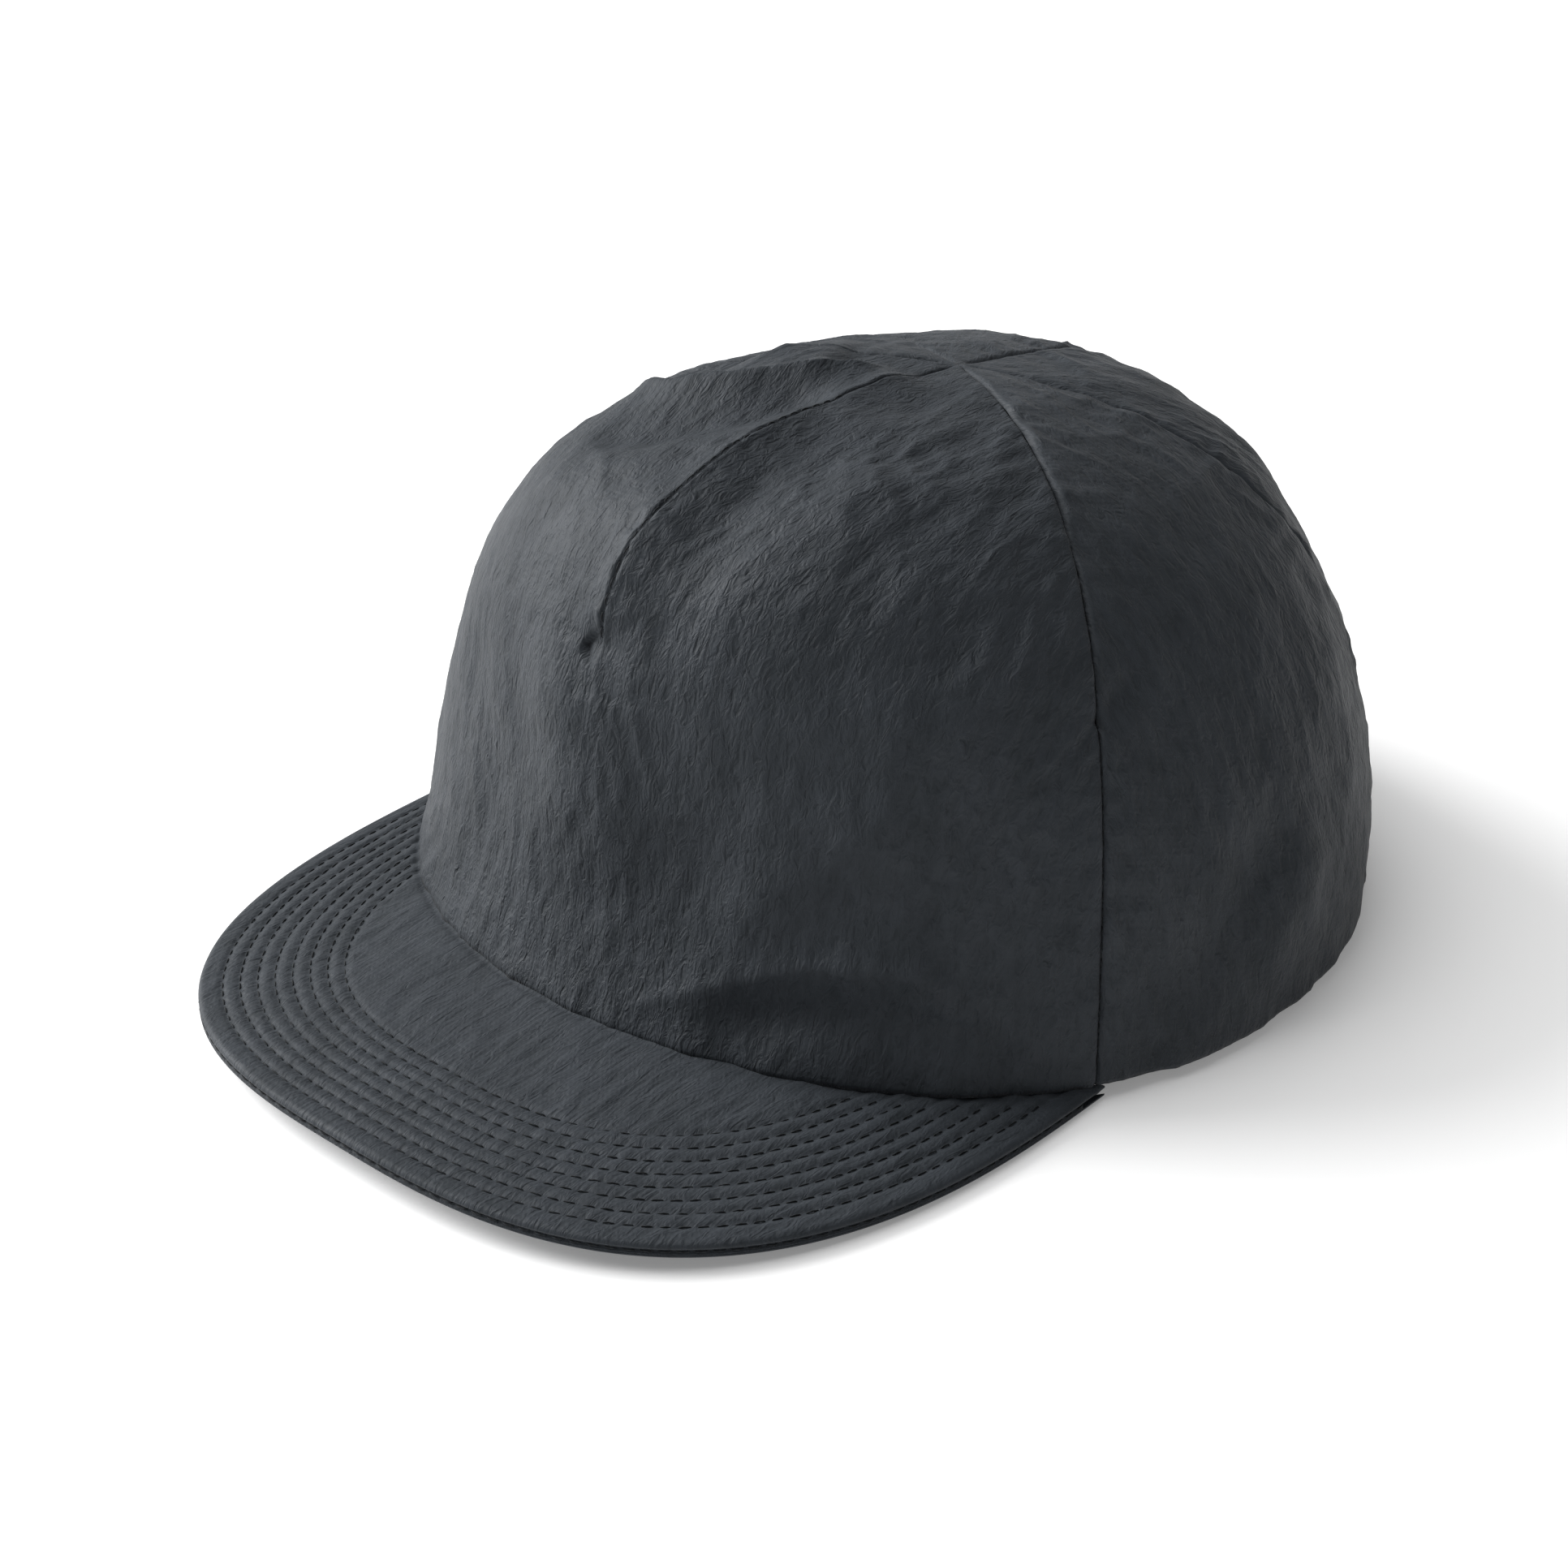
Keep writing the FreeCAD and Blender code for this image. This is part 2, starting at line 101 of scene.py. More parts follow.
def makePiece(name, points, faces, uv=None):
    # points (n, 3) in mm; faces as an array of quads, with a repeated corner for a triangle
    mesh = bpy.data.meshes.new(name)
    faces = np.asarray(faces, np.int64)
    isTri = faces[:, 3] == faces[:, 2]
    counts = np.where(isTri, 3, 4)
    keep = np.ones(faces.shape, bool)
    keep[isTri, 3] = False
    corners = faces[keep]
    starts = np.concatenate([[0], np.cumsum(counts)[:-1]])
    mesh.vertices.add(len(points))
    mesh.vertices.foreach_set("co", (np.asarray(points, float) * mm).astype(np.float32).ravel())
    mesh.loops.add(len(corners))
    mesh.loops.foreach_set("vertex_index", corners.astype(np.int32))
    mesh.polygons.add(len(faces))
    mesh.polygons.foreach_set("loop_start", starts.astype(np.int32))
    mesh.update(calc_edges=True)
    mesh.validate()
    mesh.polygons.foreach_set("use_smooth", np.ones(len(mesh.polygons), bool))
    if uv is not None:
        layer = mesh.uv_layers.new(name="cloth")
        layer.data.foreach_set("uv", np.asarray(uv, np.float32)[corners].ravel())
    return show(bpy.data.objects.new(name, mesh))


def gridFaces(rows, columns, closeRows=False, closeColumns=False):
    # quads between neighbouring grid points, wrapping round where asked
    i = np.arange(rows if closeRows else rows - 1)
    j = np.arange(columns if closeColumns else columns - 1)
    a, b = gridOf(i, j)
    nextA, nextB = (a + 1) % rows, (b + 1) % columns
    quads = np.stack([a * columns + b, nextA * columns + b, nextA * columns + nextB, a * columns + nextB], -1)
    return quads.reshape(-1, 4)


def dropLoose(piece):
    # takes away the points that no face uses
    shape = bmesh.new()
    shape.from_mesh(piece.data)
    bmesh.ops.delete(shape, geom=[vert for vert in shape.verts if not vert.link_faces], context="VERTS")
    shape.to_mesh(piece.data)
    shape.free()


def closedPatch(name, outer, inner, uv):
    # two grids of the same size, outer and inner, joined by a strip round their border
    rows, columns = outer.shape[:2]
    count = rows * columns
    index = np.arange(count).reshape(rows, columns)
    ring = np.concatenate([index[0, :-1], index[:-1, -1], index[-1, :0:-1], index[:0:-1, 0]])
    nextRing = np.roll(ring, -1)
    side = np.stack([ring, nextRing, nextRing + count, ring + count], -1)
    faces = np.concatenate([gridFaces(rows, columns), gridFaces(rows, columns)[:, ::-1] + count, side])
    points = np.concatenate([outer.reshape(-1, 3), inner.reshape(-1, 3)])
    return outwards(makePiece(name, points, faces, np.concatenate([uv.reshape(-1, 2)] * 2)))


def outwards(piece):
    # turns every face of a closed shape to point out
    shape = bmesh.new()
    shape.from_mesh(piece.data)
    bmesh.ops.remove_doubles(shape, verts=shape.verts, dist=1e-6)
    bmesh.ops.recalc_face_normals(shape, faces=shape.faces)
    shape.to_mesh(piece.data)
    shape.free()
    piece.data.polygons.foreach_set("use_smooth", np.ones(len(piece.data.polygons), bool))
    return piece


def runLength(points, axis=0):
    # length covered from the first point to each, along one axis of a grid
    steps = np.linalg.norm(np.diff(points, axis=axis), axis=-1)
    return np.concatenate([np.zeros_like(np.take(steps, [0], axis)), np.cumsum(steps, axis)], axis)


def borderDistance(points):
    # lengths along both ways of a grid, and how far each point is from the grid's border
    u, v = runLength(points), runLength(points, 1)
    return u, v, np.minimum(np.minimum(u, u[-1:] - u), np.minimum(v, v[:, -1:] - v))


def sweepPiece(name, centres, sides, ups, profile):
    # carries a closed profile (x along side, y along up) through a row of centres, and closes both ends
    points = centres[:, None] + sides[:, None] * profile[None, :, :1] + ups[:, None] * profile[None, :, 1:]
    rows, columns = points.shape[:2]
    flat = np.concatenate([points.reshape(-1, 3), points[0].mean(0)[None], points[-1].mean(0)[None]])
    first = np.arange(columns)
    last = first + (rows - 1) * columns
    hub = np.full(columns, rows * columns)
    faces = [gridFaces(rows, columns, closeColumns=True), np.stack([first, np.roll(first, -1), hub, hub], -1),
             np.stack([np.roll(last, -1), last, hub + 1, hub + 1], -1)]
    u, v = gridOf(runLength(centres), runLength(profile))
    uv = np.stack([u, v], -1).reshape(-1, 2)
    return outwards(makePiece(name, flat, np.concatenate(faces), np.concatenate([uv, uv[[0, -1]]])))


def roundedBox(halfWidth, halfHeight, radius, perCorner=4):
    # outline of a rectangle with rounded corners, anticlockwise
    corners = []
    for turn, (sx, sy) in enumerate(((1, 1), (-1, 1), (-1, -1), (1, -1))):
        angle = np.linspace(0, 0.5 * math.pi, perCorner) + 0.5 * math.pi * turn
        centre = np.array([sx * (halfWidth - radius), sy * (halfHeight - radius)])
        corners.append(centre + radius * np.stack([np.cos(angle), np.sin(angle)], -1))
    return np.concatenate(corners)


def unit(vectors):
    return vectors / np.maximum(np.linalg.norm(vectors, axis=-1, keepdims=True), 1e-12)


def smoothStep(low, high, values):
    share = np.clip((values - low) / (high - low), 0, 1)
    return share * share * (3 - 2 * share)


def roundEdge(distance, radius, least=0.0):
    # quarter circle: 0 at the border, 1 from the radius inwards
    return np.sqrt(np.clip(1 - (1 - np.clip(distance / radius, 0, 1)) ** 2, least, 1))


def halve(low, high, isPast, steps):
    # narrows each span down to the place up to which the test holds
    for _ in range(steps):
        middle = 0.5 * (low + high)
        past = isPast(middle)
        low, high = np.where(past, middle, low), np.where(past, high, middle)
    return low, high


def latticeNoise(u, v, seed):
    # random values at the corners of a unit lattice, blended with a smooth curve; -1 to 1
    table = np.random.default_rng(seed).uniform(-1, 1, (256, 256))
    lowU, lowV = np.floor(u).astype(int), np.floor(v).astype(int)
    fu, fv = u - lowU, v - lowV
    fu = fu ** 3 * (fu * (6 * fu - 15) + 10)
    fv = fv ** 3 * (fv * (6 * fv - 15) + 10)
    a, b = lowU % 256, lowV % 256
    c, d = (lowU + 1) % 256, (lowV + 1) % 256
    low = table[a, b] * (1 - fu) + table[c, b] * fu
    high = table[a, d] * (1 - fu) + table[c, d] * fu
    return low * (1 - fv) + high * fv


def crinkle(u, v, across, along, seed):
    # sharp-topped creases: 1 minus the size of a noise whose lattice is pushed about by a slower one
    bend = latticeNoise(u / (4 * across) + 7.3, v / (2 * along), seed + 50)
    wave = latticeNoise(u / across + 1.1 * bend, v / along + 0.4 * bend, seed)
    return 0.55 - np.abs(wave) * 1.6


# Crown: upright cubic curves from the hem to the apex
crown = {
    "halfWidth": 92.5, "halfLength": 94.6, "hemLift": 1.5, "frontRise": 8.7, "height": 98.0, "setback": 17.0,
    "wallLean": (-8.7, -8.5, -11.9), "wallRise": (68.5, -19.3, 8.8), "topReach": (0.727, 0.302, 0.122),
    "topSwell": (3.5, -10.7), "frontSeam": (63.0, 69.8), "backSeam": (127.6, 120.3), "seamBend": 1.5,
}


def vary(terms, angle):
    # a value that changes round the head: its mean, front-to-back and side-to-side terms
    return terms[0] + terms[1] * np.cos(angle) + terms[2] * np.cos(2 * angle)


def hemHeight(angle):
    return crown["hemLift"] + crown["frontRise"] * np.clip(np.cos(angle), 0, 1) ** 2


def crownPoint(angle, rise):
    # radius from the apex axis and height are cubics of the rise, whose free points vary round the head
    hemX = crown["halfWidth"] * np.sin(angle)
    hemY = -crown["halfLength"] * np.cos(angle) - crown["setback"]
    reach = np.hypot(hemX, hemY)
    outX, outY = hemX / reach, hemY / reach
    low = hemHeight(angle)
    swell = crown["topSwell"][0] + crown["topSwell"][1] * outY
    left = 1 - rise
    w0, w1, w2, w3 = left ** 3, 3 * rise * left ** 2, 3 * rise ** 2 * left, rise ** 3
    radius = w0 * reach + w1 * (reach + vary(crown["wallLean"], angle))
    radius = radius + w2 * reach * vary(crown["topReach"], angle)
    height = w0 * low + w1 * (low + vary(crown["wallRise"], angle)) + w2 * (crown["height"] + swell)
    height = height + w3 * crown["height"]
    return np.stack([radius * outX, crown["setback"] + radius * outY, height], -1)


def crownNormal(angle, rise):
    step = 0.003
    rise = np.minimum(rise, 0.99)
    across = crownPoint(angle + step, rise) - crownPoint(angle - step, rise)
    upward = crownPoint(angle, rise + step) - crownPoint(angle, rise - step)
    return unit(np.cross(across, upward))


def riseAt(angle, height):
    # the rise at which the wall reaches a height
    shape = np.broadcast(angle, height).shape
    low, high = halve(np.zeros(shape), np.full(shape, 0.6),
                      lambda rise: crownPoint(angle, rise)[..., 2] < height, 26)
    return np.where(height <= hemHeight(angle), 0.0, 0.5 * (low + high))


def wallPoint(angle, height, depth):
    # a place at a height, moved level inwards by a depth
    rise = riseAt(angle, height)
    point = crownPoint(angle, rise)
    away = crownNormal(angle, rise) * np.array([1, 1, 0])
    point = point - unit(away) * np.asarray(depth)[..., None]
    point[..., 2] = height
    return point


def insetPoint(angle, rise, depth):
    # a place under the crown's outside, square to it
    return crownPoint(angle, rise) - crownNormal(angle, rise) * np.asarray(depth)[..., None]


def seamAngle(seam, side, rise):
    # a seam runs from one angle at the hem to another at the apex; side is 1 on the wearer's left
    return np.radians(side * (seam[0] + (seam[1] - seam[0]) * rise ** crown["seamBend"]))


def axisDistance(angle, rise):
    point = crownPoint(angle, rise)
    return np.hypot(point[..., 0], point[..., 1] - crown["setback"])


def alongPath(points, path):
    # distance from each point to a path of straight runs, and how far along the path that is, 0 to 1
    best = np.full(points.shape[:-1], 1e9)
    place = np.zeros(points.shape[:-1])
    lengths = np.linalg.norm(np.diff(path, axis=0), axis=1)
    total, done = lengths.sum(), 0.0
    for start, end, length in zip(path[:-1], path[1:], lengths):
        share = np.clip(((points - start) @ (end - start)) / length ** 2, 0, 1)
        distance = np.linalg.norm(points - start - share[..., None] * (end - start), axis=-1)
        nearer = distance < best
        best = np.where(nearer, distance, best)
        place = np.where(nearer, (done + share * length) / total, place)
        done += length
    return best, place


# Folds that the cloth falls into.  Each has a path of (angle, rise) places, a height and a width in mm,
# whether it is a sharp ridge or a rounded roll, and the shares of its length over which its ends fade
folds = {
    "dartRidge": (((0, 0.97), (0, 0.8), (0, 0.6), (-1, 0.435)), 5.4, 10, True, 0.12, 0.07),
    "dartBend": (((-3, 0.5), (-4, 0.36), (-1, 0.26), (3, 0.1)), 3.4, 13, False, 0.35, 0.4),
    "farRidge": (((-22, 0.965), (-28, 0.9), (-35, 0.835), (-42, 0.775), (-58, 0.68)), 5.6, 8, True, 0.2, 0.2),
    "farHollow": (((-11, 0.92), (-17, 0.84), (-25, 0.75), (-38, 0.64)), -2.2, 7, False, 0.2, 0.3),
    "farFill": (((-44, 0.93), (-56, 0.87), (-68, 0.8)), 2.4, 14, False, 0.3, 0.3),
    "farRoll": (((-8, 0.8), (-16, 0.7), (-27, 0.6), (-36, 0.52)), 1.1, 6, False, 0.2, 0.3),
    "nearHollow": (((16, 0.88), (11, 0.76), (9, 0.66), (10, 0.52)), -1.8, 7, False, 0.3, 0.3),
    "nearRoll": (((34, 0.82), (30, 0.74), (27, 0.64)), 1.0, 8, False, 0.3, 0.3),
    "hemHollow": (((17, 0.03), (27, 0.055), (34, 0.07), (43, 0.07), (56, 0.05)), -1.3, 4, False, 0.25, 0.25),
    "hemRoll": (((8, 0.02), (19, 0.07), (30, 0.12), (42, 0.13), (54, 0.1)), 2.5, 7, True, 0.3, 0.3),
    "lowDiagonal": (((46, 0.36), (34, 0.27), (22, 0.15), (15, 0.05)), 1.3, 7, False, 0.3, 0.3),
    "midDiagonal": (((58, 0.52), (45, 0.43), (33, 0.38)), 1.0, 8, False, 0.3, 0.3),
    "seamTuck": (((65, 0.41), (68, 0.445), (75, 0.475)), -1.3, 2.6, False, 0.05, 0.6),
    "sideHollow": (((92, 0.25), (84, 0.19), (77, 0.12), (71, 0.05)), -1.6, 7, False, 0.3, 0.2),
    "sideRoll": (((98, 0.2), (90, 0.13), (84, 0.07)), 1.5, 8, False, 0.3, 0.3),
    "farSideHollow": (((-80, 0.3), (-86, 0.2), (-80, 0.1)), -1.5, 7, False, 0.3, 0.3),
    "backRoll": (((140, 0.5), (150, 0.42), (160, 0.4)), 0.8, 8, False, 0.3, 0.3),
    "farBackHollow": (((-138, 0.6), (-148, 0.45), (-146, 0.3)), -1.2, 8, False, 0.3, 0.3),
}

cloth = {
    "grooveDepth": 0.8, "grooveWidth": 0.5, "puckerHeight": 0.45, "puckerReach": 7.0, "puckerPitch": 5.2,
    "rollDepth": 0.5, "thickness": 0.7, "dartFoot": 0.425,
}


def foldHeight(points):
    # sum of the folds: each is a bump or hollow whose height fades off sideways and at its ends
    total = np.zeros(points.shape[:-1])
    for places, height, width, sharp, fadeIn, fadeOut in folds.values():
        angles, rises = np.array(places, float).T
        distance, share = alongPath(points, crownPoint(np.radians(angles), rises))
        side = np.exp(-(distance / width) ** 2)
        if sharp:
            side = np.exp(-distance / width) - 0.5 * np.exp(-(distance / (2.2 * width)) ** 2)
        total += height * side * (smoothStep(0, fadeIn, share) * smoothStep(0, fadeOut, 1 - share))
    return total


def clothHeight(u, v, seed):
    # washed nylon: creases running up the cloth, in three sizes that come and go
    patchy = 0.65 + 0.35 * latticeNoise(u / 22, v / 30, seed + 9)
    coarse = 0.34 * latticeNoise(u / 11, v / 24, seed + 1) + 0.28 * latticeNoise(u / 17 + 3, v / 12, seed + 2)
    coarse = coarse + 0.28 * crinkle(u + 0.5 * v, v - 0.3 * u, 9.0, 20.0, seed + 8)
    middle = 0.36 * crinkle(u, v, 5.2, 10.0, seed + 3)
    fine = 0.17 * crinkle(u, v, 2.9, 5.2, seed + 4)
    fine = fine + 0.10 * crinkle(u + 0.6 * v, v - 0.6 * u, 3.4, 4.4, seed + 5)
    return coarse + patchy * (middle + fine)


def crowdEnds(count, strength):
    # even steps from 0 to 1, drawn closer together at both ends
    share = np.linspace(0, 1, count)
    return share - strength * np.sin(2 * math.pi * share) / (2 * math.pi)


def panelGrid(first, last, acrossShares, riseShares, seed, dart=False, lowRise=None):
    # cloth between two seams: crown curve, plus creases, folds, puckers along the seams and the seams' grooves
    share, rise = gridOf(acrossShares, riseShares)
    if lowRise is not None:
        rise = lowRise[:, None] + (1 - lowRise[:, None]) * rise
    start = seamAngle(*first, rise)
    end = seamAngle(*last, rise)
    angle = start + (end - start) * share
    base, normal = crownPoint(angle, rise), crownNormal(angle, rise)
    distance = axisDistance(angle, rise)
    middle = 0.5 * (start + end)
    run = runLength(base, 1)
    u = (angle - middle) * np.maximum(distance, 1.0)
    v = 170 + run - run[:, -1:]
    edge = np.minimum(angle - start, end - angle) * distance
    if dart:
        live = smoothStep(cloth["dartFoot"] - 0.02, cloth["dartFoot"] + 0.02, rise)
        dartEdge = np.abs(angle) * distance
        edge = np.minimum(edge, dartEdge + (1 - live) * 60)
    quiet = smoothStep(0.3, 26, distance)
    near = np.exp(-edge / cloth["puckerReach"])
    pucker = latticeNoise(v / cloth["puckerPitch"] * 1.9, edge / 9 + 20, seed + 6)
    pucker = cloth["puckerHeight"] * near * pucker
    pucker += 0.5 * cloth["puckerHeight"] * near * crinkle(v, edge, 4.0, 9.0, seed + 7)
    height = (clothHeight(u, v, seed) + pucker) * quiet * smoothStep(-0.6, 2.2, edge)
    height = height + foldHeight(base) * smoothStep(0, 18, distance)
    groove = cloth["grooveDepth"] * np.exp(-(edge / cloth["grooveWidth"]) ** 1.4)
    height = height - groove * smoothStep(0.2, 6, distance)
    height = height - cloth["rollDepth"] * np.exp(-(run / 0.8) ** 1.5)
    points = base + normal * height[..., None]
    if dart:
        # the cloth left of the dart's foot laps over and hides a short hollow
        place = angle * distance
        wide = 4.4 * np.exp(-((rise - cloth["dartFoot"] - 0.004) / 0.022) ** 2) + 0.01
        lap = np.clip((0.4 - place) / wide, 0, 1) * smoothStep(-wide - 0.7, -wide, place) * wide / 4.4
        points = points - normal * (1.5 * lap)[..., None]
    return points, np.stack([u, v], -1)


def panelPiece(name, node, points, uv):
    # the last column of the grid is one point, at the apex
    rows, columns = points.shape[:2]
    faces = gridFaces(rows, columns)
    faces = np.where(faces % columns == columns - 1, columns - 1, faces)
    piece = makePiece(name, points.reshape(-1, 3), faces, uv.reshape(-1, 2))
    dropLoose(piece)
    # the thickness goes inwards, so that the outside keeps its shape
    solid = piece.modifiers.new("thickness", "SOLIDIFY")
    solid.thickness = cloth["thickness"] * mm
    solid.offset = -1.0
    return settle(piece, "cover", "cover_cloth", coverCloth, node)


def settle(piece, body, slotName, material, *nodes):
    piece.data.materials.clear()
    piece.data.materials.append(material)
    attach(piece, body)
    if nodes:
        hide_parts(*nodes)
    return piece


# Materials
def addNode(tree, kind, settings=None, links=None):
    # adds one node; a setting is an input's constant if the node has that input, else a property
    node = tree.nodes.new(kind)
    for key, value in (settings or {}).items():
        if isinstance(key, int) or key in node.inputs:
            node.inputs[key].default_value = value
        else:
            setattr(node, key, value)
    for key, source in (links or {}).items():
        tree.links.new(source, node.inputs[key])
    return node


def startMaterial(name, settings):
    material = bpy.data.materials.new(name)
    material.use_nodes = True
    tree = material.node_tree
    tree.nodes.clear()
    shader = addNode(tree, "ShaderNodeBsdfPrincipled", settings)
    addNode(tree, "ShaderNodeOutputMaterial", links={"Surface": shader.outputs[0]})
    return material, tree, shader


def clothPlace(tree, layer):
    # millimetres on the piece's own cloth map, or the object's own axes turned to millimetres
    if layer:
        return addNode(tree, "ShaderNodeUVMap", {"uv_map": layer}).outputs[0]
    place = addNode(tree, "ShaderNodeTexCoord")
    return addNode(tree, "ShaderNodeVectorMath", {"operation": "SCALE", "Scale": 1000.0},
                   {0: place.outputs["Object"]}).outputs[0]


def stretchPlace(tree, place, sizes):
    # divides by a size in millimetres along each axis, so that one unit is one feature
    scale = tuple(1.0 / size for size in sizes)
    return addNode(tree, "ShaderNodeMapping", {"Scale": scale}, {"Vector": place}).outputs[0]


def mixColours(tree, factor, low, high):
    mix = addNode(tree, "ShaderNodeMix", {"data_type": "RGBA", 6: linearColour(low), 7: linearColour(high)},
                  {0: factor})
    return mix.outputs[2]


def addNoise(tree, place, sizes, **settings):
    return addNode(tree, "ShaderNodeTexNoise", {"Scale": 1.0, **settings},
                   {"Vector": stretchPlace(tree, place, sizes)})


def useColours(tree, shader, factor, low, high):
    tree.links.new(mixColours(tree, factor, low, high), shader.inputs["Base Color"])


def useRoughness(tree, shader, source, low, high, **span):
    rough = addNode(tree, "ShaderNodeMapRange", {"To Min": low, "To Max": high, **span},
                    {"Value": source.outputs[0]})
    tree.links.new(rough.outputs[0], shader.inputs["Roughness"])


def useRelief(tree, shader, height, strength, depth, **links):
    # depth in millimetres
    relief = addNode(tree, "ShaderNodeBump", {"Strength": strength, "Distance": depth * mm},
                     {"Height": height, **links})
    tree.links.new(relief.outputs[0], shader.inputs["Normal"])


def weaveHeight(tree, place, pitch):
    # over-and-under threads: the product of two sines, one along each thread direction
    settings = {"Scale": 0.157 / pitch, "Distortion": 0.4, "Detail": 1.0}
    waves = [addNode(tree, "ShaderNodeTexWave", {"bands_direction": way, **settings}, {"Vector": place}).outputs[1]
             for way in "XY"]
    return addNode(tree, "ShaderNodeMath", {"operation": "MULTIPLY"}, {0: waves[0], 1: waves[1]})


def clothMaterial(name, dark, light, wrinkle, weave, roughness, sheen, bump):
    # wrinkle: (across, along) in mm of the fine creases; weave: thread spacing in mm
    material, tree, shader = startMaterial(name, {"Specular IOR Level": 0.16, "Sheen Weight": sheen,
                                                  "Sheen Roughness": 0.45})
    place = clothPlace(tree, "cloth")
    across, along = wrinkle
    patches = addNoise(tree, place, (16, 22, 16), Detail=3.0, Roughness=0.6)
    crease = addNoise(tree, place, (across, along, across), Detail=3.0, Roughness=0.55, Distortion=0.6)
    bent = addNode(tree, "ShaderNodeVectorMath", {"operation": "MULTIPLY_ADD", 1: (1.4, 1.4, 1.4)},
                   {0: crease.outputs["Color"],
                    2: stretchPlace(tree, place, (1.5 * across, 1.5 * along, 1.5 * across))})
    facets = addNode(tree, "ShaderNodeTexVoronoi", {"Scale": 1.0}, {"Vector": bent.outputs[0]})
    centred = addNode(tree, "ShaderNodeMath", {"operation": "SUBTRACT", 1: 0.5}, {0: crease.outputs[0]})
    ridge = addNode(tree, "ShaderNodeMath", {"operation": "ABSOLUTE"}, {0: centred.outputs[0]})
    fold = addNode(tree, "ShaderNodeMath", {"operation": "MULTIPLY_ADD", 1: -0.3},
                   {0: facets.outputs["Distance"], 2: ridge.outputs[0]})
    blend = addNode(tree, "ShaderNodeMath", {"operation": "MULTIPLY_ADD", 1: -1.6},
                    {0: fold.outputs[0], 2: patches.outputs[0]})
    # colour: random patches of tone, plus painted shade that darkens the cloth where its creases sink in
    patchesAndCreaseShade = addNode(tree, "ShaderNodeMapRange", {"From Min": 0.3, "From Max": 1.0}, {"Value": blend.outputs[0]})
    useColours(tree, shader, patchesAndCreaseShade.outputs[0], dark, light)
    useRoughness(tree, shader, patches, roughness + 0.06, roughness - 0.06,
                 **{"From Min": 0.3, "From Max": 0.7})
    creaseBump = addNode(tree, "ShaderNodeBump", {"Strength": 1.0, "Distance": bump * mm, "invert": True},
                         {"Height": fold.outputs[0]})
    useRelief(tree, shader, weaveHeight(tree, place, weave).outputs[0], 0.6, 0.05, Normal=creaseBump.outputs[0])
    return material


# washed nylon, air-textured and piece dyed: matt slate with a faint bloom, creased all over in short upright wrinkles
coverCloth = clothMaterial("washedNylonCover", "#282c30", "#33373c", (1.7, 3.6), 0.55, 0.6, 0.04, 0.75)
# the same nylon quilted to the visor: the creases run front to back and lie flatter
visorCloth = clothMaterial("washedNylonVisor", "#282c30", "#33373c", (1.5, 5.0), 0.55, 0.6, 0.04, 0.45)
# woven polyester tape: near black, faint ribs
tapeCloth = clothMaterial("wovenTape", "#1d1f22", "#2a2c30", (1.2, 1.2), 0.5, 0.75, 0.1, 0.1)
# flat woven nylon webbing: near black with a plain ribbed weave
webbingCloth = clothMaterial("nylonWebbing", "#1b1d20", "#2b2d31", (1.5, 1.5), 1.0, 0.6, 0.15, 0.12)
# brushed terry knit: black, very matt, fuzzy loops about 0.7 mm apart
terryKnit = clothMaterial("terryKnit", "#101113", "#1d1e21", (0.7, 0.7), 0.8, 0.95, 0.5, 0.7)
# looped pile and moulded hooks of the fastening tabs
loopPile = clothMaterial("loopPile", "#17181b", "#26282b", (0.6, 0.6), 0.6, 0.95, 0.4, 0.5)


def mouldedMaterial(name, dark, light, grain, roughness, bump, settings=None):
    # moulded surface: fine pebbled grain, slow change of gloss
    material, tree, shader = startMaterial(name, settings)
    place = clothPlace(tree, None)
    cloud = addNoise(tree, place, (25, 25, 25), Detail=2.0)
    pebble = addNode(tree, "ShaderNodeTexVoronoi", {"Scale": 1.0},
                     {"Vector": stretchPlace(tree, place, (grain,) * 3)})
    useColours(tree, shader, cloud.outputs[0], dark, light)
    useRoughness(tree, shader, cloud, roughness - 0.08, roughness + 0.08)
    useRelief(tree, shader, pebble.outputs["Distance"], 0.5, bump)
    return material


# injection moulded ABS: black satin, fine spark-eroded grain
shellPlastic = mouldedMaterial("mouldedAbs", "#151618", "#1c1d20", 0.8, 0.38, 0.03)
# closed-cell EVA foam: charcoal, matt skin pitted by its cells
padFoam = mouldedMaterial("closedCellEva", "#26282b", "#303236", 0.9, 0.85, 0.12, {"Specular IOR Level": 0.25})
# nylon hook tape, moulded
hookPlastic = mouldedMaterial("mouldedHooks", "#191a1d", "#232528", 0.8, 0.5, 0.05)
# stiff polyethylene sheet inside the visor
boardPlastic = mouldedMaterial("visorBoard", "#2b2d30", "#35373b", 1.2, 0.5, 0.03)


def threadMaterial():
    # spun polyester thread: near black, two plies twisted at about 0.9 mm a turn
    material, tree, shader = startMaterial("spunThread", {"Roughness": 0.7, "Sheen Weight": 0.04,
                                                          "Specular IOR Level": 0.12})
    twist = addNode(tree, "ShaderNodeTexWave", {"bands_direction": "DIAGONAL", "Scale": 0.314 / 0.9},
                    {"Vector": clothPlace(tree, None)})
    # painted shade: the thread is darker where the twist wave is low, in the grooves between its plies
    useColours(tree, shader, twist.outputs[1], "#141618", "#24272a")
    useRelief(tree, shader, twist.outputs[1], 0.5, 0.05)
    return material


spunThread = threadMaterial()


def steelMaterial():
    # pressed steel, satin nickel plate: brushed along the strap, slightly darker in patches where hands wear it
    material, tree, shader = startMaterial("satinNickel", {"Metallic": 1.0})
    place = clothPlace(tree, None)
    brush = addNoise(tree, place, (9.0, 9.0, 0.25), Detail=4.0)
    patches = addNoise(tree, place, (5, 5, 5), Detail=2.0)
    useColours(tree, shader, patches.outputs[0], "#8d8f92", "#adafb2")
    useRoughness(tree, shader, brush, 0.24, 0.44)
    useRelief(tree, shader, brush.outputs[0], 0.25, 0.02)
    return material


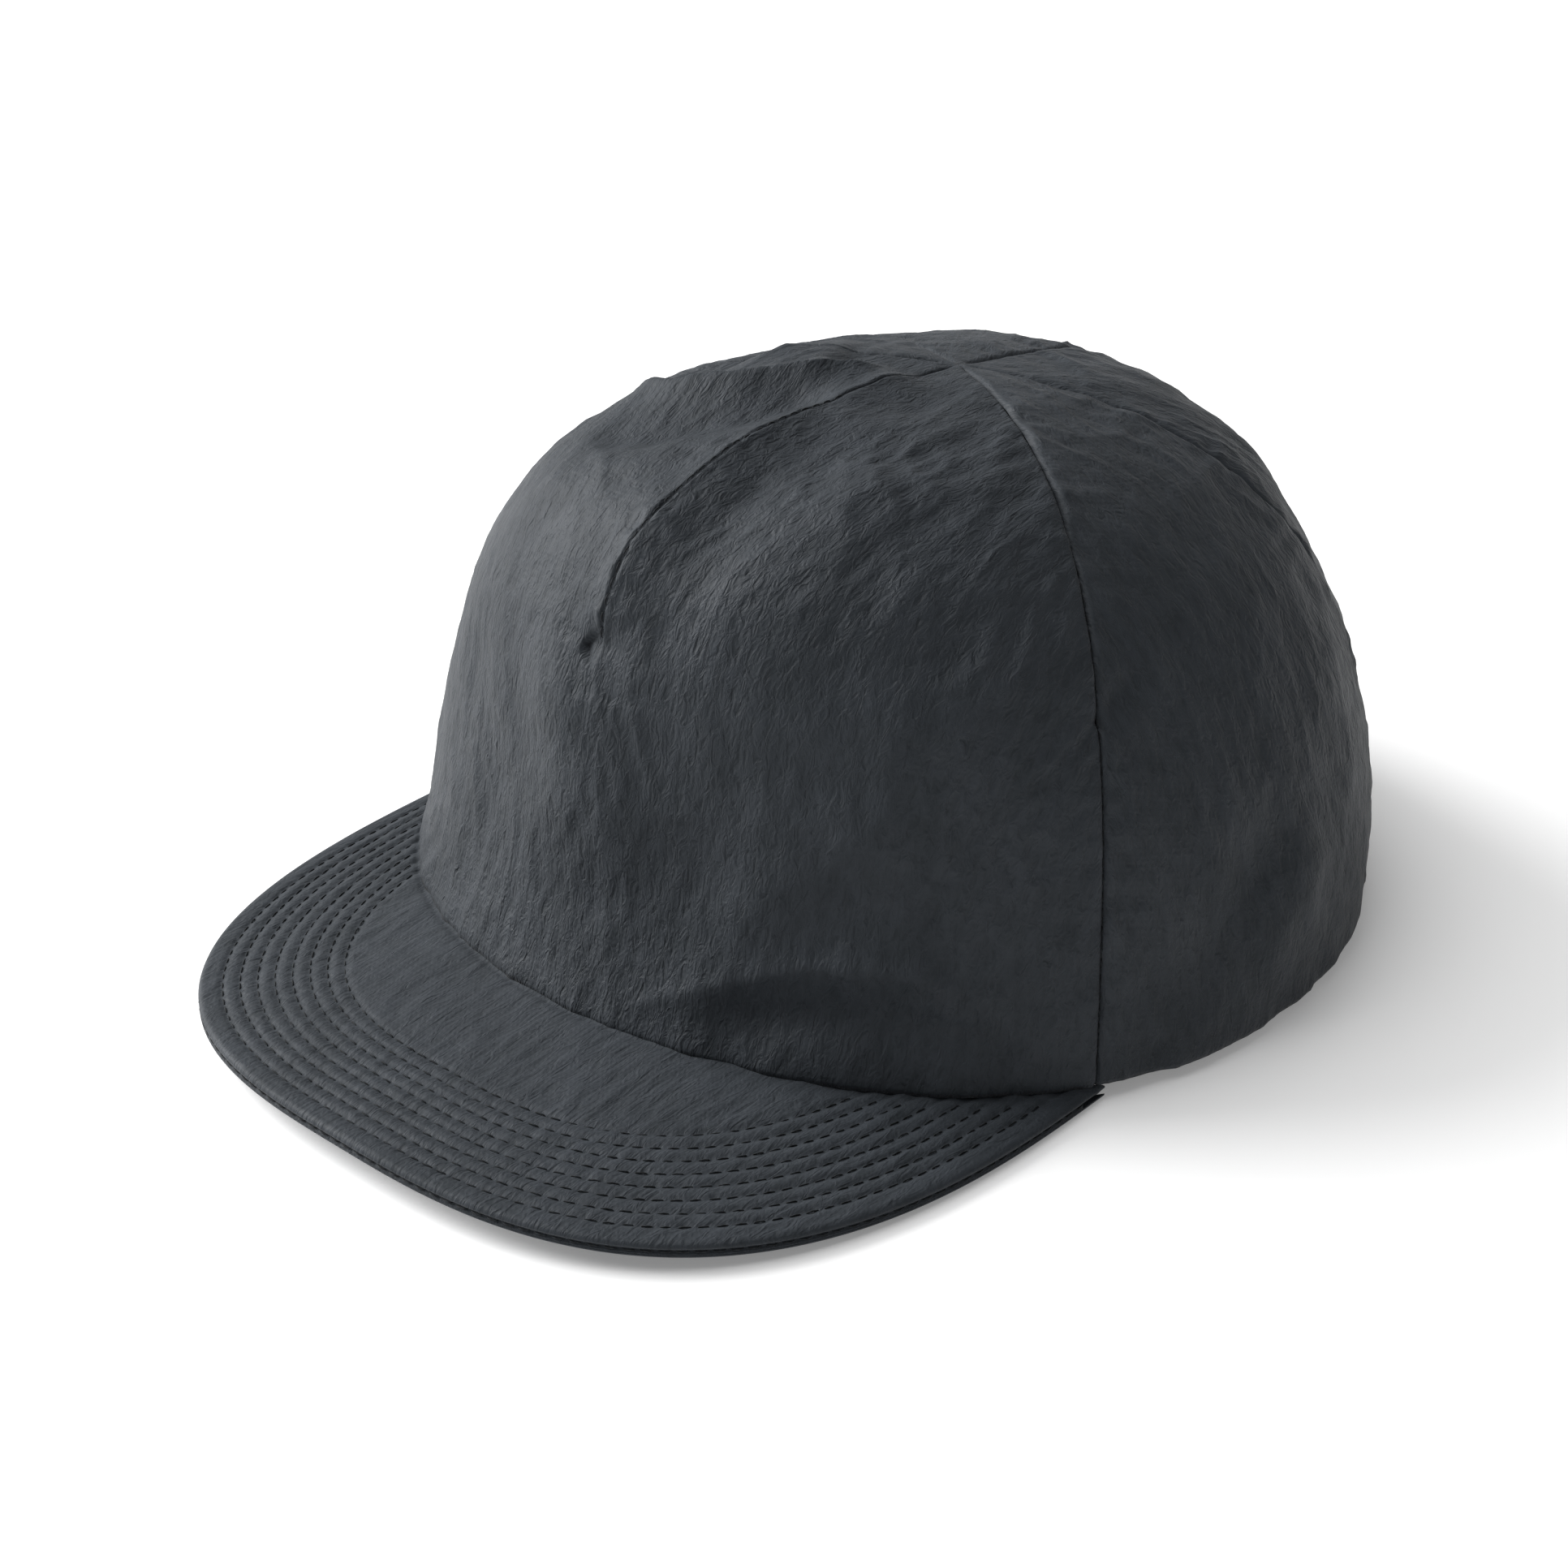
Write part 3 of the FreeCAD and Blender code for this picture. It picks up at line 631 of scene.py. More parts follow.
satinNickel = steelMaterial()
print("materials ready")


# Threads: each stitch is a short rounded bar whose ends dip into the cloth
def threadPiece(name, starts, ends, normals, radius, arch=0.25, dip=0.25, nodes=()):
    share = np.array([0.0, 0.14, 0.5, 0.86, 1.0])
    swell = np.array([0.35, 0.9, 1.0, 0.9, 0.35])
    lift = arch * np.array([0.0, 0.8, 1.0, 0.8, 0.0]) - dip * np.array([1.0, 0.2, 0.0, 0.2, 1.0])
    turns = np.linspace(0, 2 * math.pi, 6, endpoint=False)
    side = unit(np.cross(unit(ends - starts), normals))
    up = normals[:, None]
    centres = starts[:, None] + (ends - starts)[:, None] * share[:, None] + up * lift[:, None]
    ring = side[:, None] * np.cos(turns)[:, None] + up * np.sin(turns)[:, None]
    points = centres[:, :, None] + ring[:, None] * (radius * swell)[:, None, None]
    caps = np.array([[0, 1, 2, 3], [0, 3, 4, 5], [27, 26, 25, 24], [29, 28, 27, 24]])
    one = np.concatenate([gridFaces(5, 6, closeColumns=True), caps])
    faces = (one[None] + np.arange(len(starts))[:, None, None] * 30).reshape(-1, 4)
    piece = outwards(makePiece(name, points.reshape(-1, 3), faces))
    return settle(piece, "cover", "sewing_thread", spunThread, *nodes)


def stitchesAlong(path, normals, length, gap, jitter, seed):
    # starts, ends and normals of stitches laid one after another along a path
    run = runLength(path)
    count = int(run[-1] / (length + gap))
    begin = np.arange(count) * (length + gap) + gap
    wobble = np.random.default_rng(seed).uniform(-jitter, jitter, (2, count))

    def at(distance):
        return np.stack([np.interp(distance, run, path[:, axis]) for axis in range(3)], -1)

    middle = begin + 0.5 * length
    outward = unit(np.stack([np.interp(middle, run, normals[:, axis]) for axis in range(3)], -1))
    return at(begin + wobble[0]), at(begin + length + wobble[1]), outward


# Cover panels
front, rear, middleSeam, backSeam = crown["frontSeam"], crown["backSeam"], (0.0, 0.0), (180.0, 180.0)
panelRows = {"front": 130, "side": 170, "back": 130}
riseShares = 1 - (1 - np.linspace(0, 1, 182)) ** 1.12


def archRise(angles):
    # rise at which each upright curve leaves the rear arch, or 0 beside it
    def inside(rise):
        point = crownPoint(angles, rise)
        return np.hypot(point[:, 0], point[:, 2] - crown["hemLift"]) < strap["archRadius"] - 0.3

    hem = np.zeros(len(angles))
    return np.where(inside(hem), halve(hem, hem + 0.6, inside, 26)[0], 0.0)


strap = {
    "archRadius": 40.0, "middle": 13.0, "width": 18.0, "thickness": 1.0, "axisY": 0.345, "radius": 91.036,
    "taper": 0.1143, "rightEnd": -50.0, "leftEnd": 42.1, "clearance": 0.35,
    "anchorThickness": 0.8, "anchorEnd": 44.1,
}


def makePanels():
    half = crowdEnds(panelRows["front"], 0.6)
    acrossFront = np.concatenate([0.5 * half, 0.5 + 0.5 * half[1:]])
    points, uv = panelGrid((front, -1), (front, 1), acrossFront, riseShares, 11, dart=True)
    panelPiece("frontPanelCloth", "front_panel", points, uv)
    across = crowdEnds(panelRows["side"], 0.6)
    for side, name, seed in ((1, "left", 23), (-1, "right", 37)):
        ends = ((front, 1), (rear, 1)) if side > 0 else ((rear, -1), (front, -1))
        points, uv = panelGrid(*ends, across, riseShares, seed)
        panelPiece(name + "SidePanelCloth", name + "_side_panel", points, uv)
    across = crowdEnds(panelRows["back"], 0.6)
    for side, name, seed in ((1, "left", 41), (-1, "right", 59)):
        ends = ((rear, 1), (backSeam, 1)) if side > 0 else ((backSeam, -1), (rear, -1))
        low, high = (seamAngle(*end, np.zeros(1))[0] for end in ends)
        points, uv = panelGrid(*ends, across, riseShares, seed, lowRise=archRise(low + (high - low) * across))
        panelPiece(name + "BackPanelCloth", name + "_back_panel", points, uv)
    print("cover panels made")


def makeSeamThreads():
    seams = (("leftFrontSeamThread", front, 1, 0.02, 0.62), ("rightFrontSeamThread", front, -1, 0.02, 0.62),
             ("leftBackSeamThread", rear, 1, 0.02, 0.6), ("rightBackSeamThread", rear, -1, 0.02, 0.6),
             ("dartThread", middleSeam, 1, 0.44, 0.9))
    for name, seam, side, low, high in seams:
        rise = np.linspace(low, high, 160)
        angle = seamAngle(seam, side, rise)
        path, normals = insetPoint(angle, rise, np.full(160, 0.75)), crownNormal(angle, rise)
        path = path + normals * foldHeight(path)[:, None]
        threadPiece(name, *stitchesAlong(path, normals, 2.1, 0.9, 0.12, 5), 0.14)


def sheetPatch(name, angle, rise, outer, inner, body, slotName, material, node, relief=0.0, seed=0):
    # a strip between two depths that follows the folds, with its border pinched so that the edges look soft
    base, normal = crownPoint(angle, rise), crownNormal(angle, rise)
    lift = foldHeight(base) * smoothStep(0, 10, axisDistance(angle, rise)) if body == "cover" else 0.0
    uRun, vRun, edge = borderDistance(base)
    pinch = roundEdge(edge, 0.5 * np.abs(inner - outer), 0.04)
    middle, half = 0.5 * (outer + inner), 0.5 * (inner - outer) * pinch
    noise = relief * latticeNoise(uRun / 1.3, vRun / 1.3, seed)
    top = base + normal * (lift - (middle - half) + noise)[..., None]
    bottom = base + normal * (lift - (middle + half) - noise)[..., None]
    piece = closedPatch(name, top, bottom, np.stack([uRun, vRun], -1))
    return settle(piece, body, slotName, material, *([node] if node else []))


bands = {
    "tapeWidth": 12.0, "tapeDepth": (1.95, 2.45), "backTapeDepth": (1.6, 2.05),
    "apexHalf": 10.0, "apexDepth": (2.6, 3.3), "bandInset": 2.4, "bandThickness": 1.8, "bandHeight": 28.0,
    "bandEnd": 151.0, "bandShift": (100.0, 120.0), "strapRoom": 2.0,
    "foldHeight": 10.0, "foldDepth": (1.3, 2.25), "foldEnd": 98.0,
}


def makeTapes():
    archTop = float(riseAt(np.array(math.pi), crown["hemLift"] + strap["archRadius"] + 2.0))
    seams = (("frontDart", middleSeam, 1, 0.13, "front_dart"),
             ("leftFrontSeam", front, 1, 0.13, "left_front_seam"),
             ("rightFrontSeam", front, -1, 0.13, "right_front_seam"),
             ("leftBackSeam", rear, 1, 0.02, "left_back_seam"),
             ("rightBackSeam", rear, -1, 0.02, "right_back_seam"),
             ("backCentreSeam", backSeam, 1, archTop, "back_centre_seam"))
    for name, seam, side, low, node in seams:
        depth = bands["backTapeDepth"] if seam == rear else bands["tapeDepth"]
        across, rise = gridOf(np.linspace(-0.5, 0.5, 17) * bands["tapeWidth"], np.linspace(low, 0.9, 150))
        middle = seamAngle(seam, side, rise)
        angle = middle + across / axisDistance(middle, rise)
        sheetPatch(name + "TapeCloth", angle, rise, *depth, "cover", "seam_tape", tapeCloth, node + "_tape",
                   0.06, 3)
    apexSheet("apexPatchCloth", bands["apexHalf"], bands["apexDepth"], "cover", "seam_tape", tapeCloth,
              "apex_patch")


def apexSheet(name, half, depths, body, slotName, material, node, crowned=False):
    # a rounded square about the apex: rings of points whose distance out varies with direction
    angle, share = gridOf(np.linspace(0, 2 * math.pi, 97)[:-1], np.linspace(0.0, 1, 30))
    hem = crownPoint(angle, np.zeros(angle.shape))
    bearing = np.arctan2(hem[..., 0], crown["setback"] - hem[..., 1])
    power = 4.0 if crowned else 5.0
    size = (np.abs(np.sin(bearing)) ** power + np.abs(np.cos(bearing)) ** power) ** (-1 / power)
    pull = 1 - 0.035 * np.cos(4 * bearing) if crowned else 1.0
    radius = half * size * share * pull
    low, high = np.full(angle.shape, 0.3), np.full(angle.shape, 1.0)
    low = halve(low, high, lambda rise: axisDistance(angle, rise) > radius, 30)[0]
    rise = np.where(share > 0, low, 1.0)
    base = crownPoint(angle, rise)
    normal = crownNormal(angle, np.minimum(rise, 0.985))
    normal[:, 0] = normal[:, 0].mean(0)
    thick = depths[1] - depths[0]
    edge = (1 - share) * half
    if crowned:
        puff = padProfile(edge, thick) - 0.9 * np.exp(-((edge - 9.0) / 1.1) ** 2)
    else:
        puff = thick * roundEdge(edge, thick, 0.04)
    top = base - normal * depths[0]
    bottom = base - normal * (depths[0] + puff)[..., None]
    rows, columns = angle.shape
    count = rows * columns
    upper = gridFaces(rows, columns, closeRows=True)
    upper = np.where(upper % columns == 0, 0, upper)
    lower = np.where(upper == 0, count, upper + count)[:, ::-1]
    rim = np.arange(rows) * columns + columns - 1
    side = np.stack([rim, np.roll(rim, -1), np.roll(rim, -1) + count, rim + count], -1)
    flat = np.concatenate([top.reshape(-1, 3), bottom.reshape(-1, 3)])
    piece = makePiece(name, flat, np.concatenate([upper, lower, side]), flat[:, :2])
    dropLoose(piece)
    return settle(outwards(piece), body, slotName, material, node)


def bandGrid(end, top, rows, columns, depth, shifted):
    # points of a band that stands on the hem line, at one depth under the crown's outside
    angle, height = gridOf(np.radians(np.linspace(-end, end, rows)), np.linspace(0, top, columns))
    lift = hemHeight(angle)
    if shifted:
        # the sweatband starts at the table and leaves room for the strap at the back
        lift = lift - crown["hemLift"]
        depth = depth + bands["strapRoom"] * smoothStep(*bands["bandShift"], np.abs(np.degrees(angle)))
    points = wallPoint(angle, lift + height, depth)
    normal = crownNormal(angle, np.full(angle.shape, 0.1))
    return points + normal * (foldHeight(points) * 0.8)[..., None]


def makeBands():
    rows, columns = 560, 56
    end, top = bands["bandEnd"], bands["bandHeight"]
    height = np.linspace(0, top, columns)
    soft = roundEdge(np.minimum(height, top - height), 1.3, 0.05)
    u, v = gridOf(np.linspace(0, 490, rows), height)
    fuzz = 0.12 * latticeNoise(u / 0.9, v / 0.9, 71) + 0.15 * latticeNoise(u / 6, v / 6, 72)
    ribs = 0.35 * np.exp(-((v - 4.0) / 0.6) ** 2) + 0.35 * np.exp(-((v - 24.0) / 0.6) ** 2)
    middle = bands["bandInset"] + 0.5 * bands["bandThickness"]
    half = 0.5 * bands["bandThickness"] * soft[None]
    outer = bandGrid(end, top, rows, columns, middle - half + 0.3 * fuzz, True)
    inner = bandGrid(end, top, rows, columns, middle + half - ribs + fuzz, True)
    piece = closedPatch("sweatbandKnit", outer, inner, np.stack([u, v], -1))
    settle(piece, "cover", "sweatband_knit", terryKnit, "sweatband")

    end, top = bands["foldEnd"], bands["foldHeight"]
    rows, columns = 300, 12
    u, v = gridOf(np.linspace(0, 315, rows), np.linspace(0, top, columns))
    wave = 0.12 * latticeNoise(u / 5, v / 9, 81)
    grids = [bandGrid(end, top, rows, columns, depth + wave, False) for depth in bands["foldDepth"]]
    piece = closedPatch("hemFoldCloth", *grids, np.stack([u, v], -1))
    settle(piece, "cover", "cover_cloth", coverCloth, "hem_fold")
    print("tapes and bands made")


# Visor: superellipse outline, straight across its thickness, joined to the hem by straight rulings
visor = {
    "length": 49.0, "corner": 63.0, "square": 2.7, "edgeHeight": 8.1, "seamRoom": 2.1, "underDrop": 3.0,
    "firstRow": 4.0, "rowPitch": 2.9, "rowCount": 8, "stitch": 2.35, "stitchGap": 0.7,
    "puff": 0.40, "puffWidth": 0.65,
}
cornerX = crown["halfWidth"] * math.sin(math.radians(visor["corner"]))
cornerY = -crown["halfLength"] * math.cos(math.radians(visor["corner"]))
visorDepth = cornerY + crown["halfLength"] + visor["length"]


def hemY(x):
    return -crown["halfLength"] * np.sqrt(1 - (x / crown["halfWidth"]) ** 2)


def hemZ(x):
    return crown["hemLift"] + crown["frontRise"] * (1 - (x / crown["halfWidth"]) ** 2)


def visorOutline(turn, inset):
    power = visor["square"]
    size = (np.abs(np.sin(turn)) ** power + np.abs(np.cos(turn)) ** power) ** (-1 / power)
    return (cornerX - inset) * np.sin(turn) * size, cornerY - (visorDepth - inset) * np.cos(turn) * size


def outlineFront(x):
    power = visor["square"]
    share = np.clip(1 - np.abs(x / cornerX) ** power, 0, 1) ** (1 / power)
    return cornerY - visorDepth * share


def visorHeight(x, y):
    edge = hemZ(cornerX) + (visor["edgeHeight"] - hemZ(cornerX)) * (1 - (x / cornerX) ** 2)
    front = outlineFront(x)
    share = np.clip((y - front) / np.maximum(hemY(x) - front, 0.5), 0, 1)
    return edge + (hemZ(x) - edge) * share


def insetOf(x, y):
    # how far in from the outline a place is: the inset of the superellipse that passes through it
    power = visor["square"]

    def within(inset):
        ahead = np.minimum(y - cornerY, 0)
        return np.abs(x / (cornerX - inset)) ** power + np.abs(ahead / (visorDepth - inset)) ** power < 1

    low, high = halve(np.zeros(x.shape), np.full(x.shape, 60.0), within, 24)
    return 0.5 * (low + high)


def turnLimit(inset):
    # where the outline comes to within a millimetre of the hem
    turn = np.linspace(1.0, 0.5 * math.pi, 400)
    x, y = visorOutline(turn, inset)
    clear = hemY(x) - y > 1.0
    return turn[clear][-1] if clear.any() else 1.0


def rowPath(inset, count=500, limit=None):
    end = turnLimit(inset) if limit is None else limit
    turn = np.linspace(-end, end, count)
    x, y = visorOutline(turn, inset)
    return turn, np.stack([x, y, visorHeight(x, y)], -1)


def quiltHeight(x, y):
    # rows of stitches pull grooves into the cloth, which puffs up between them and puckers across them
    inset = insetOf(x, y)
    first, pitch, rows = visor["firstRow"], visor["rowPitch"], visor["rowCount"]
    nearest = np.clip(np.round((inset - first) / pitch), 0, rows - 1)
    away = np.abs(inset - first - nearest * pitch)
    turn = np.arctan2(x / (cornerX - inset), -np.minimum(y - cornerY, -0.01) / (visorDepth - inset))
    phase = np.zeros(x.shape)
    for row in range(rows):
        turns, path = rowPath(first + row * pitch, limit=1.5)
        stitches = np.interp(turn, turns, runLength(path)) / (visor["stitch"] + visor["stitchGap"])
        phase = np.where(nearest == row, stitches, phase)
    pull = 0.86 + 0.14 * np.cos(2 * math.pi * phase)
    groove = visor["puff"] * pull * np.exp(-(away / visor["puffWidth"]) ** 2)
    quilted = smoothStep(-2.5, -0.5, inset - first)
    quilted = quilted * smoothStep(-2.5, -0.8, first + (rows - 1) * pitch - inset + 3.0)
    ripple = 0.09 * crinkle(phase * 3.05 + 0.35 * inset, inset, 1.7, 3.2, 91) * quilted
    grain = 0.09 * crinkle(x, y, 2.1, 8.0, 92) + 0.16 * crinkle(x, y, 4.2, 13.0, 93)
    loose = 0.25 * latticeNoise(x / 14, y / 10, 94) * smoothStep(20, 30, inset)
    return ripple + grain * (0.6 + 0.4 * smoothStep(22, 27, inset)) + loose - groove, inset


def visorGrid(rows, columns):
    # rows run from corner to corner, columns from the outline in to the hem
    end = turnLimit(0.0)
    turn, share = gridOf(np.linspace(-end, end, rows), crowdEnds(columns, 0.35))
    x, front = visorOutline(turn, 0.0)
    back = hemY(x) + visor["seamRoom"]
    return x, front + (back - front) * share


def makeVisorCovers():
    x, y = visorGrid(430, 108)
    base = visorHeight(x, y)
    relief, inset = quiltHeight(x, y)
    roll = 0.75 * (1 - roundEdge(inset, 1.3))
    tuck = 0.2 * np.exp(-((hemY(x) - y) / 0.8) ** 2)
    top = np.stack([x, y, base - 0.05 + relief * smoothStep(0.2, 2.2, inset) - roll - tuck], -1)
    bottom = np.stack([x, y, base - 0.8 - 0.15 * smoothStep(0, 1, 1 - inset)], -1)
    bottom[..., 2] = np.minimum(bottom[..., 2], top[..., 2] - 0.25)
    piece = closedPatch("visorTopCloth", top, bottom, np.stack([x, y], -1))
    settle(piece, "cover", "visor_cloth", visorCloth, "visor_top_cover")

    x, y = visorGrid(300, 80)
    base = visorHeight(x, y)
    relief, inset = quiltHeight(x, y)
    low = base - visor["underDrop"]
    curl = 0.5 * (1 - roundEdge(inset, 0.9))
    top = np.stack([x, y, base - 2.22 - 0.1 * curl], -1)
    bottom = np.stack([x, y, low - 0.7 * relief * smoothStep(0.2, 2.2, inset) + curl], -1)
    piece = closedPatch("visorUnderCloth", top, bottom, np.stack([x, y], -1))
    settle(piece, "cover", "visor_cloth", visorCloth, "visor_under_cover")

    # the two covers' turned-in edges, seen between them as a dark recess
    end = turnLimit(1.5)
    turn, drop = gridOf(np.linspace(-end, end, 400), np.linspace(0, 1, 9))
    grids = []
    for inset in (0.3, 1.5):
        px, py = visorOutline(turn, inset - 0.25 * np.cos(2 * math.pi * drop) * (inset < 1))
        grids.append(np.stack([px, py, visorHeight(px, py) - 0.8 - 1.42 * drop], -1))
    u, v = gridOf(np.linspace(0, 270, 400), np.linspace(0, 1.4, 9))
    piece = closedPatch("visorEdgeCloth", *grids, np.stack([u, v], -1))
    settle(piece, "cover", "visor_cloth", visorCloth, "visor_edge_seam")
    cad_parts["visor_board"].data.materials.clear()
    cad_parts["visor_board"].data.materials.append(boardPlastic)


def makeVisorThreads():
    rows = []
    for side, drop in ((1, 0.05 + visor["puff"] * 0.75), (-1, 2.95 - visor["puff"] * 0.5)):
        for row in range(visor["rowCount"]):
            turn, path = rowPath(visor["firstRow"] + row * visor["rowPitch"])
            path[:, 2] -= drop
            out = np.tile([0.0, 0.0, float(side)], (len(path), 1))
            rows.append(stitchesAlong(path, out, visor["stitch"], visor["stitchGap"], 0.14, 200 + row))
    threadPiece("visorRowThread", *(np.concatenate(parts) for parts in zip(*rows)), 0.14, arch=0.1)
    turn, path = rowPath(0.1)
    path[:, 2] -= 1.55
    out = unit(np.stack([path[:, 0] / cornerX ** 2, (path[:, 1] - cornerY) / visorDepth ** 2, 0 * turn], -1))
    threadPiece("visorEdgeThread", *stitchesAlong(path, out, 2.1, 0.8, 0.1, 300), 0.16, arch=0.05, dip=0.3)
    print("visor made")


# Rear opening: bound edge, webbing strap, anchor and lever buckle
def makeBinding():
    turn = np.linspace(0, math.pi, 150)
    radius = strap["archRadius"] - 0.4
    x, z = radius * np.cos(turn), crown["hemLift"] + radius * np.sin(turn)
    low = halve(np.full(150, 0.6 * math.pi), np.full(150, 1.4 * math.pi),
                lambda angle: crownPoint(angle, riseAt(angle, z))[:, 0] > x, 30)[0]
    rise = riseAt(low, z)
    centres, ups = insetPoint(low, rise, np.full(150, 0.45)), crownNormal(low, rise)
    along = unit(np.gradient(centres, axis=0))
    sides = unit(np.cross(along, ups))
    piece = sweepPiece("archBindingTape", centres, sides, ups, roundedBox(2.6, 1.05, 0.6))
    settle(piece, "cover", "seam_tape", tapeCloth, "rear_arch_binding")


def onCone(degrees, height, out):
    # a place on the strap's cone, degrees from the back towards the wearer's left, moved out by a distance
    angle = np.radians(degrees)
    radius = strap["radius"] - strap["taper"] * height + out
    return np.stack([radius * np.sin(angle), strap["axisY"] + radius * np.cos(angle), height + 0 * radius], -1)


def makeStrap():
    # flat webbing: ribs across it every 1.3 mm and a rolled selvedge along both edges
    half, width = 0.5 * strap["thickness"], strap["width"]
    degrees, height = gridOf(np.linspace(strap["rightEnd"], strap["leftEnd"], 640),
                                  np.linspace(0, 1, 34) * width + strap["middle"] - 0.5 * width)
    edge = np.minimum(height - height.min(), height.max() - height)
    tip = np.minimum(degrees - strap["rightEnd"], strap["leftEnd"] - degrees)
    tip = tip * math.radians(1) * strap["radius"]
    soft = roundEdge(np.minimum(edge, tip), 0.5, 0.06)
    run = degrees * math.radians(1) * strap["radius"]
    ribs = 0.07 * np.sin(2 * math.pi * run / 1.3) * smoothStep(0.6, 1.6, edge)
    ribs = ribs + 0.06 * np.exp(-((edge - 0.8) / 0.4) ** 2)
    proud = (half - 0.12 + ribs) * soft
    piece = closedPatch("strapWebbing", onCone(degrees, height, proud), onCone(degrees, height, -proud),
                        np.stack([run, height], -1))
    settle(piece, "strap", "webbing", webbingCloth, "adjuster_strap")


def buckleAxes():
    angle = math.radians(buckle["angle"])
    along = np.array([math.cos(angle), -math.sin(angle), 0.0])
    out = unit(np.array([math.sin(angle), math.cos(angle), strap["taper"]]))
    return along, out, np.cross(along, out), onCone(np.array(buckle["angle"]), strap["middle"], 0.0)


buckle = {"angle": 9.0, "barPlace": 10.8, "barRadius": 1.0, "tailStart": 18.0, "tailEnd": 25.0}


def makeAnchor():
    # a short webbing strip, from the side of the opening, round the buckle's bar and back on itself
    along, out, up, spot = buckleAxes()
    thick = strap["anchorThickness"]
    inner = 0.5 * strap["thickness"] + strap["clearance"]
    loop = buckle["barRadius"] + 0.15 + 0.5 * thick
    barY = inner - buckle["barPlace"] ** 2 / (2 * strap["radius"]) + loop + 0.5 * thick
    bar = spot + along * buckle["barPlace"] + out * barY
    start = buckle["angle"] + math.degrees(math.asin(buckle["barPlace"] / strap["radius"]))
    strip = onCone(np.linspace(strap["anchorEnd"], start + 0.4, 60), np.full(60, strap["middle"]),
                   inner + 0.5 * thick)
    turn = np.linspace(-0.5 * math.pi, 0.5 * math.pi, 30)
    bend = bar - along * (loop * np.cos(turn))[:, None] + out * (loop * np.sin(turn))[:, None]
    tail = np.linspace(buckle["tailStart"], buckle["tailEnd"], 30)
    tail = onCone(tail, np.full(30, strap["middle"]), inner + 1.5 * thick + 0.08)
    blend = np.linspace(0, 1, 14)[1:-1, None]
    gap = tail[0] - bend[-1]
    bridge = bend[-1] + along * (blend * (gap @ along)) + out * (smoothStep(0, 1, blend) * (gap @ out))
    bridge = bridge + up * (blend * (gap @ up))
    centres = np.concatenate([strip, bend, bridge, tail])
    sides = np.tile(up, (len(centres), 1))
    ups = unit(np.cross(np.gradient(centres, axis=0), sides))
    profile = roundedBox(0.5 * strap["width"], 0.5 * thick, 0.3)
    dense = np.concatenate([np.stack([np.linspace(a[0], b[0], 6)[:-1], np.linspace(a[1], b[1], 6)[:-1]], -1)
                            for a, b in zip(profile, np.roll(profile, -1, axis=0))])
    piece = sweepPiece("anchorWebbing", centres, sides, ups, dense)
    settle(piece, "cover", "webbing", webbingCloth, "strap_anchor")
    # box of stitches that holds the tail down
    rows = []
    for height in (-6.5, -2.2, 2.2, 6.5):
        degrees = np.linspace(buckle["tailStart"] + 1.2, buckle["tailEnd"] - 0.6, 40)
        path = onCone(degrees, np.full(40, strap["middle"] + height), inner + 2 * thick + 0.12)
        normal = unit(path - np.array([0, strap["axisY"], strap["middle"] + height]))
        rows.append(stitchesAlong(path, normal, 2.0, 0.7, 0.08, 400))
    threadPiece("anchorThread", *(np.concatenate(parts) for parts in zip(*rows)), 0.22, arch=0.1, dip=0.3)


def makeBartacks():
    # dense zigzag across 2.2 mm, up the height of the strap, sewn through the cloth
    count = 46
    low = strap["middle"] - 0.5 * strap["width"] + 1.0
    height = np.linspace(low, low + strap["width"] - 2.0, count)
    depth = np.full(count, -0.25)
    rows = []
    for side in (-1, 1):
        for step in (-1, 1):
            middle = math.radians(180 - side * 31.0)
            first, last = (np.full(count, middle + way * step * 1.1 / 90) for way in (-1, 1))
            rows.append((wallPoint(first, height, depth), wallPoint(last, height + 0.17, depth),
                         crownNormal(first, riseAt(first, height))))
    threadPiece("strapBartackThread", *(np.concatenate(parts) for parts in zip(*rows)), 0.22, arch=0.12,
                dip=0.35, nodes=("strap_bartacks",))


def bevelledCopy(name, node, body, slotName, material, width):
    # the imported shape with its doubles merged, its flat faces joined and its edges rounded over, or kept sharp
    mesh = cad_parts[node].data.copy()
    mesh.name = name
    shape = bmesh.new()
    shape.from_mesh(mesh)
    bmesh.ops.remove_doubles(shape, verts=shape.verts, dist=1e-6)
    bmesh.ops.dissolve_limit(shape, angle_limit=0.02, verts=shape.verts, edges=shape.edges)
    shape.to_mesh(mesh)
    shape.free()
    piece = show(bpy.data.objects.new(name, mesh))
    mesh.polygons.foreach_set("use_smooth", np.ones(len(mesh.polygons), bool))
    sharpest = math.radians(32)
    if width == 0:
        mesh.set_sharp_from_angle(angle=sharpest)
    else:
        bevel = piece.modifiers.new("roundedEdges", "BEVEL")
        bevel.width = width * mm
        bevel.segments = 2
        bevel.limit_method = "ANGLE"
        bevel.angle_limit = sharpest
        bevel.harden_normals = True
    return settle(piece, body, slotName, material, node)


def makeBuckle():
    for part, body, width in (("Frame", "cover", 0.35), ("Pin", "cover", 0.2), ("Lever", "lever", 0.35)):
        bevelledCopy("buckle" + part + "Plated", "buckle_" + part.lower(), body, "buckle_metal", satinNickel,
                     width)
    print("strap and buckle made")


# Insert: moulded shell, foam pads and the tabs that hold it to the cover
insert = {
    "edgeHeight": 33.0, "insetLow": 8.0, "insetTop": 5.0, "thickness": 2.5, "padGap": 0.15, "padThickness": 6.0,
    "stop": 0.985, "crownHalf": 26.0, "tabSize": 16.0, "tabAngles": (33.0, 95.0, 150.0),
    "loopDepth": (1.15, 2.95), "hookDepth": 3.3,
}


def shellInset(share):
    return insert["insetTop"] + (insert["insetLow"] - insert["insetTop"]) * (1 - share) ** 3


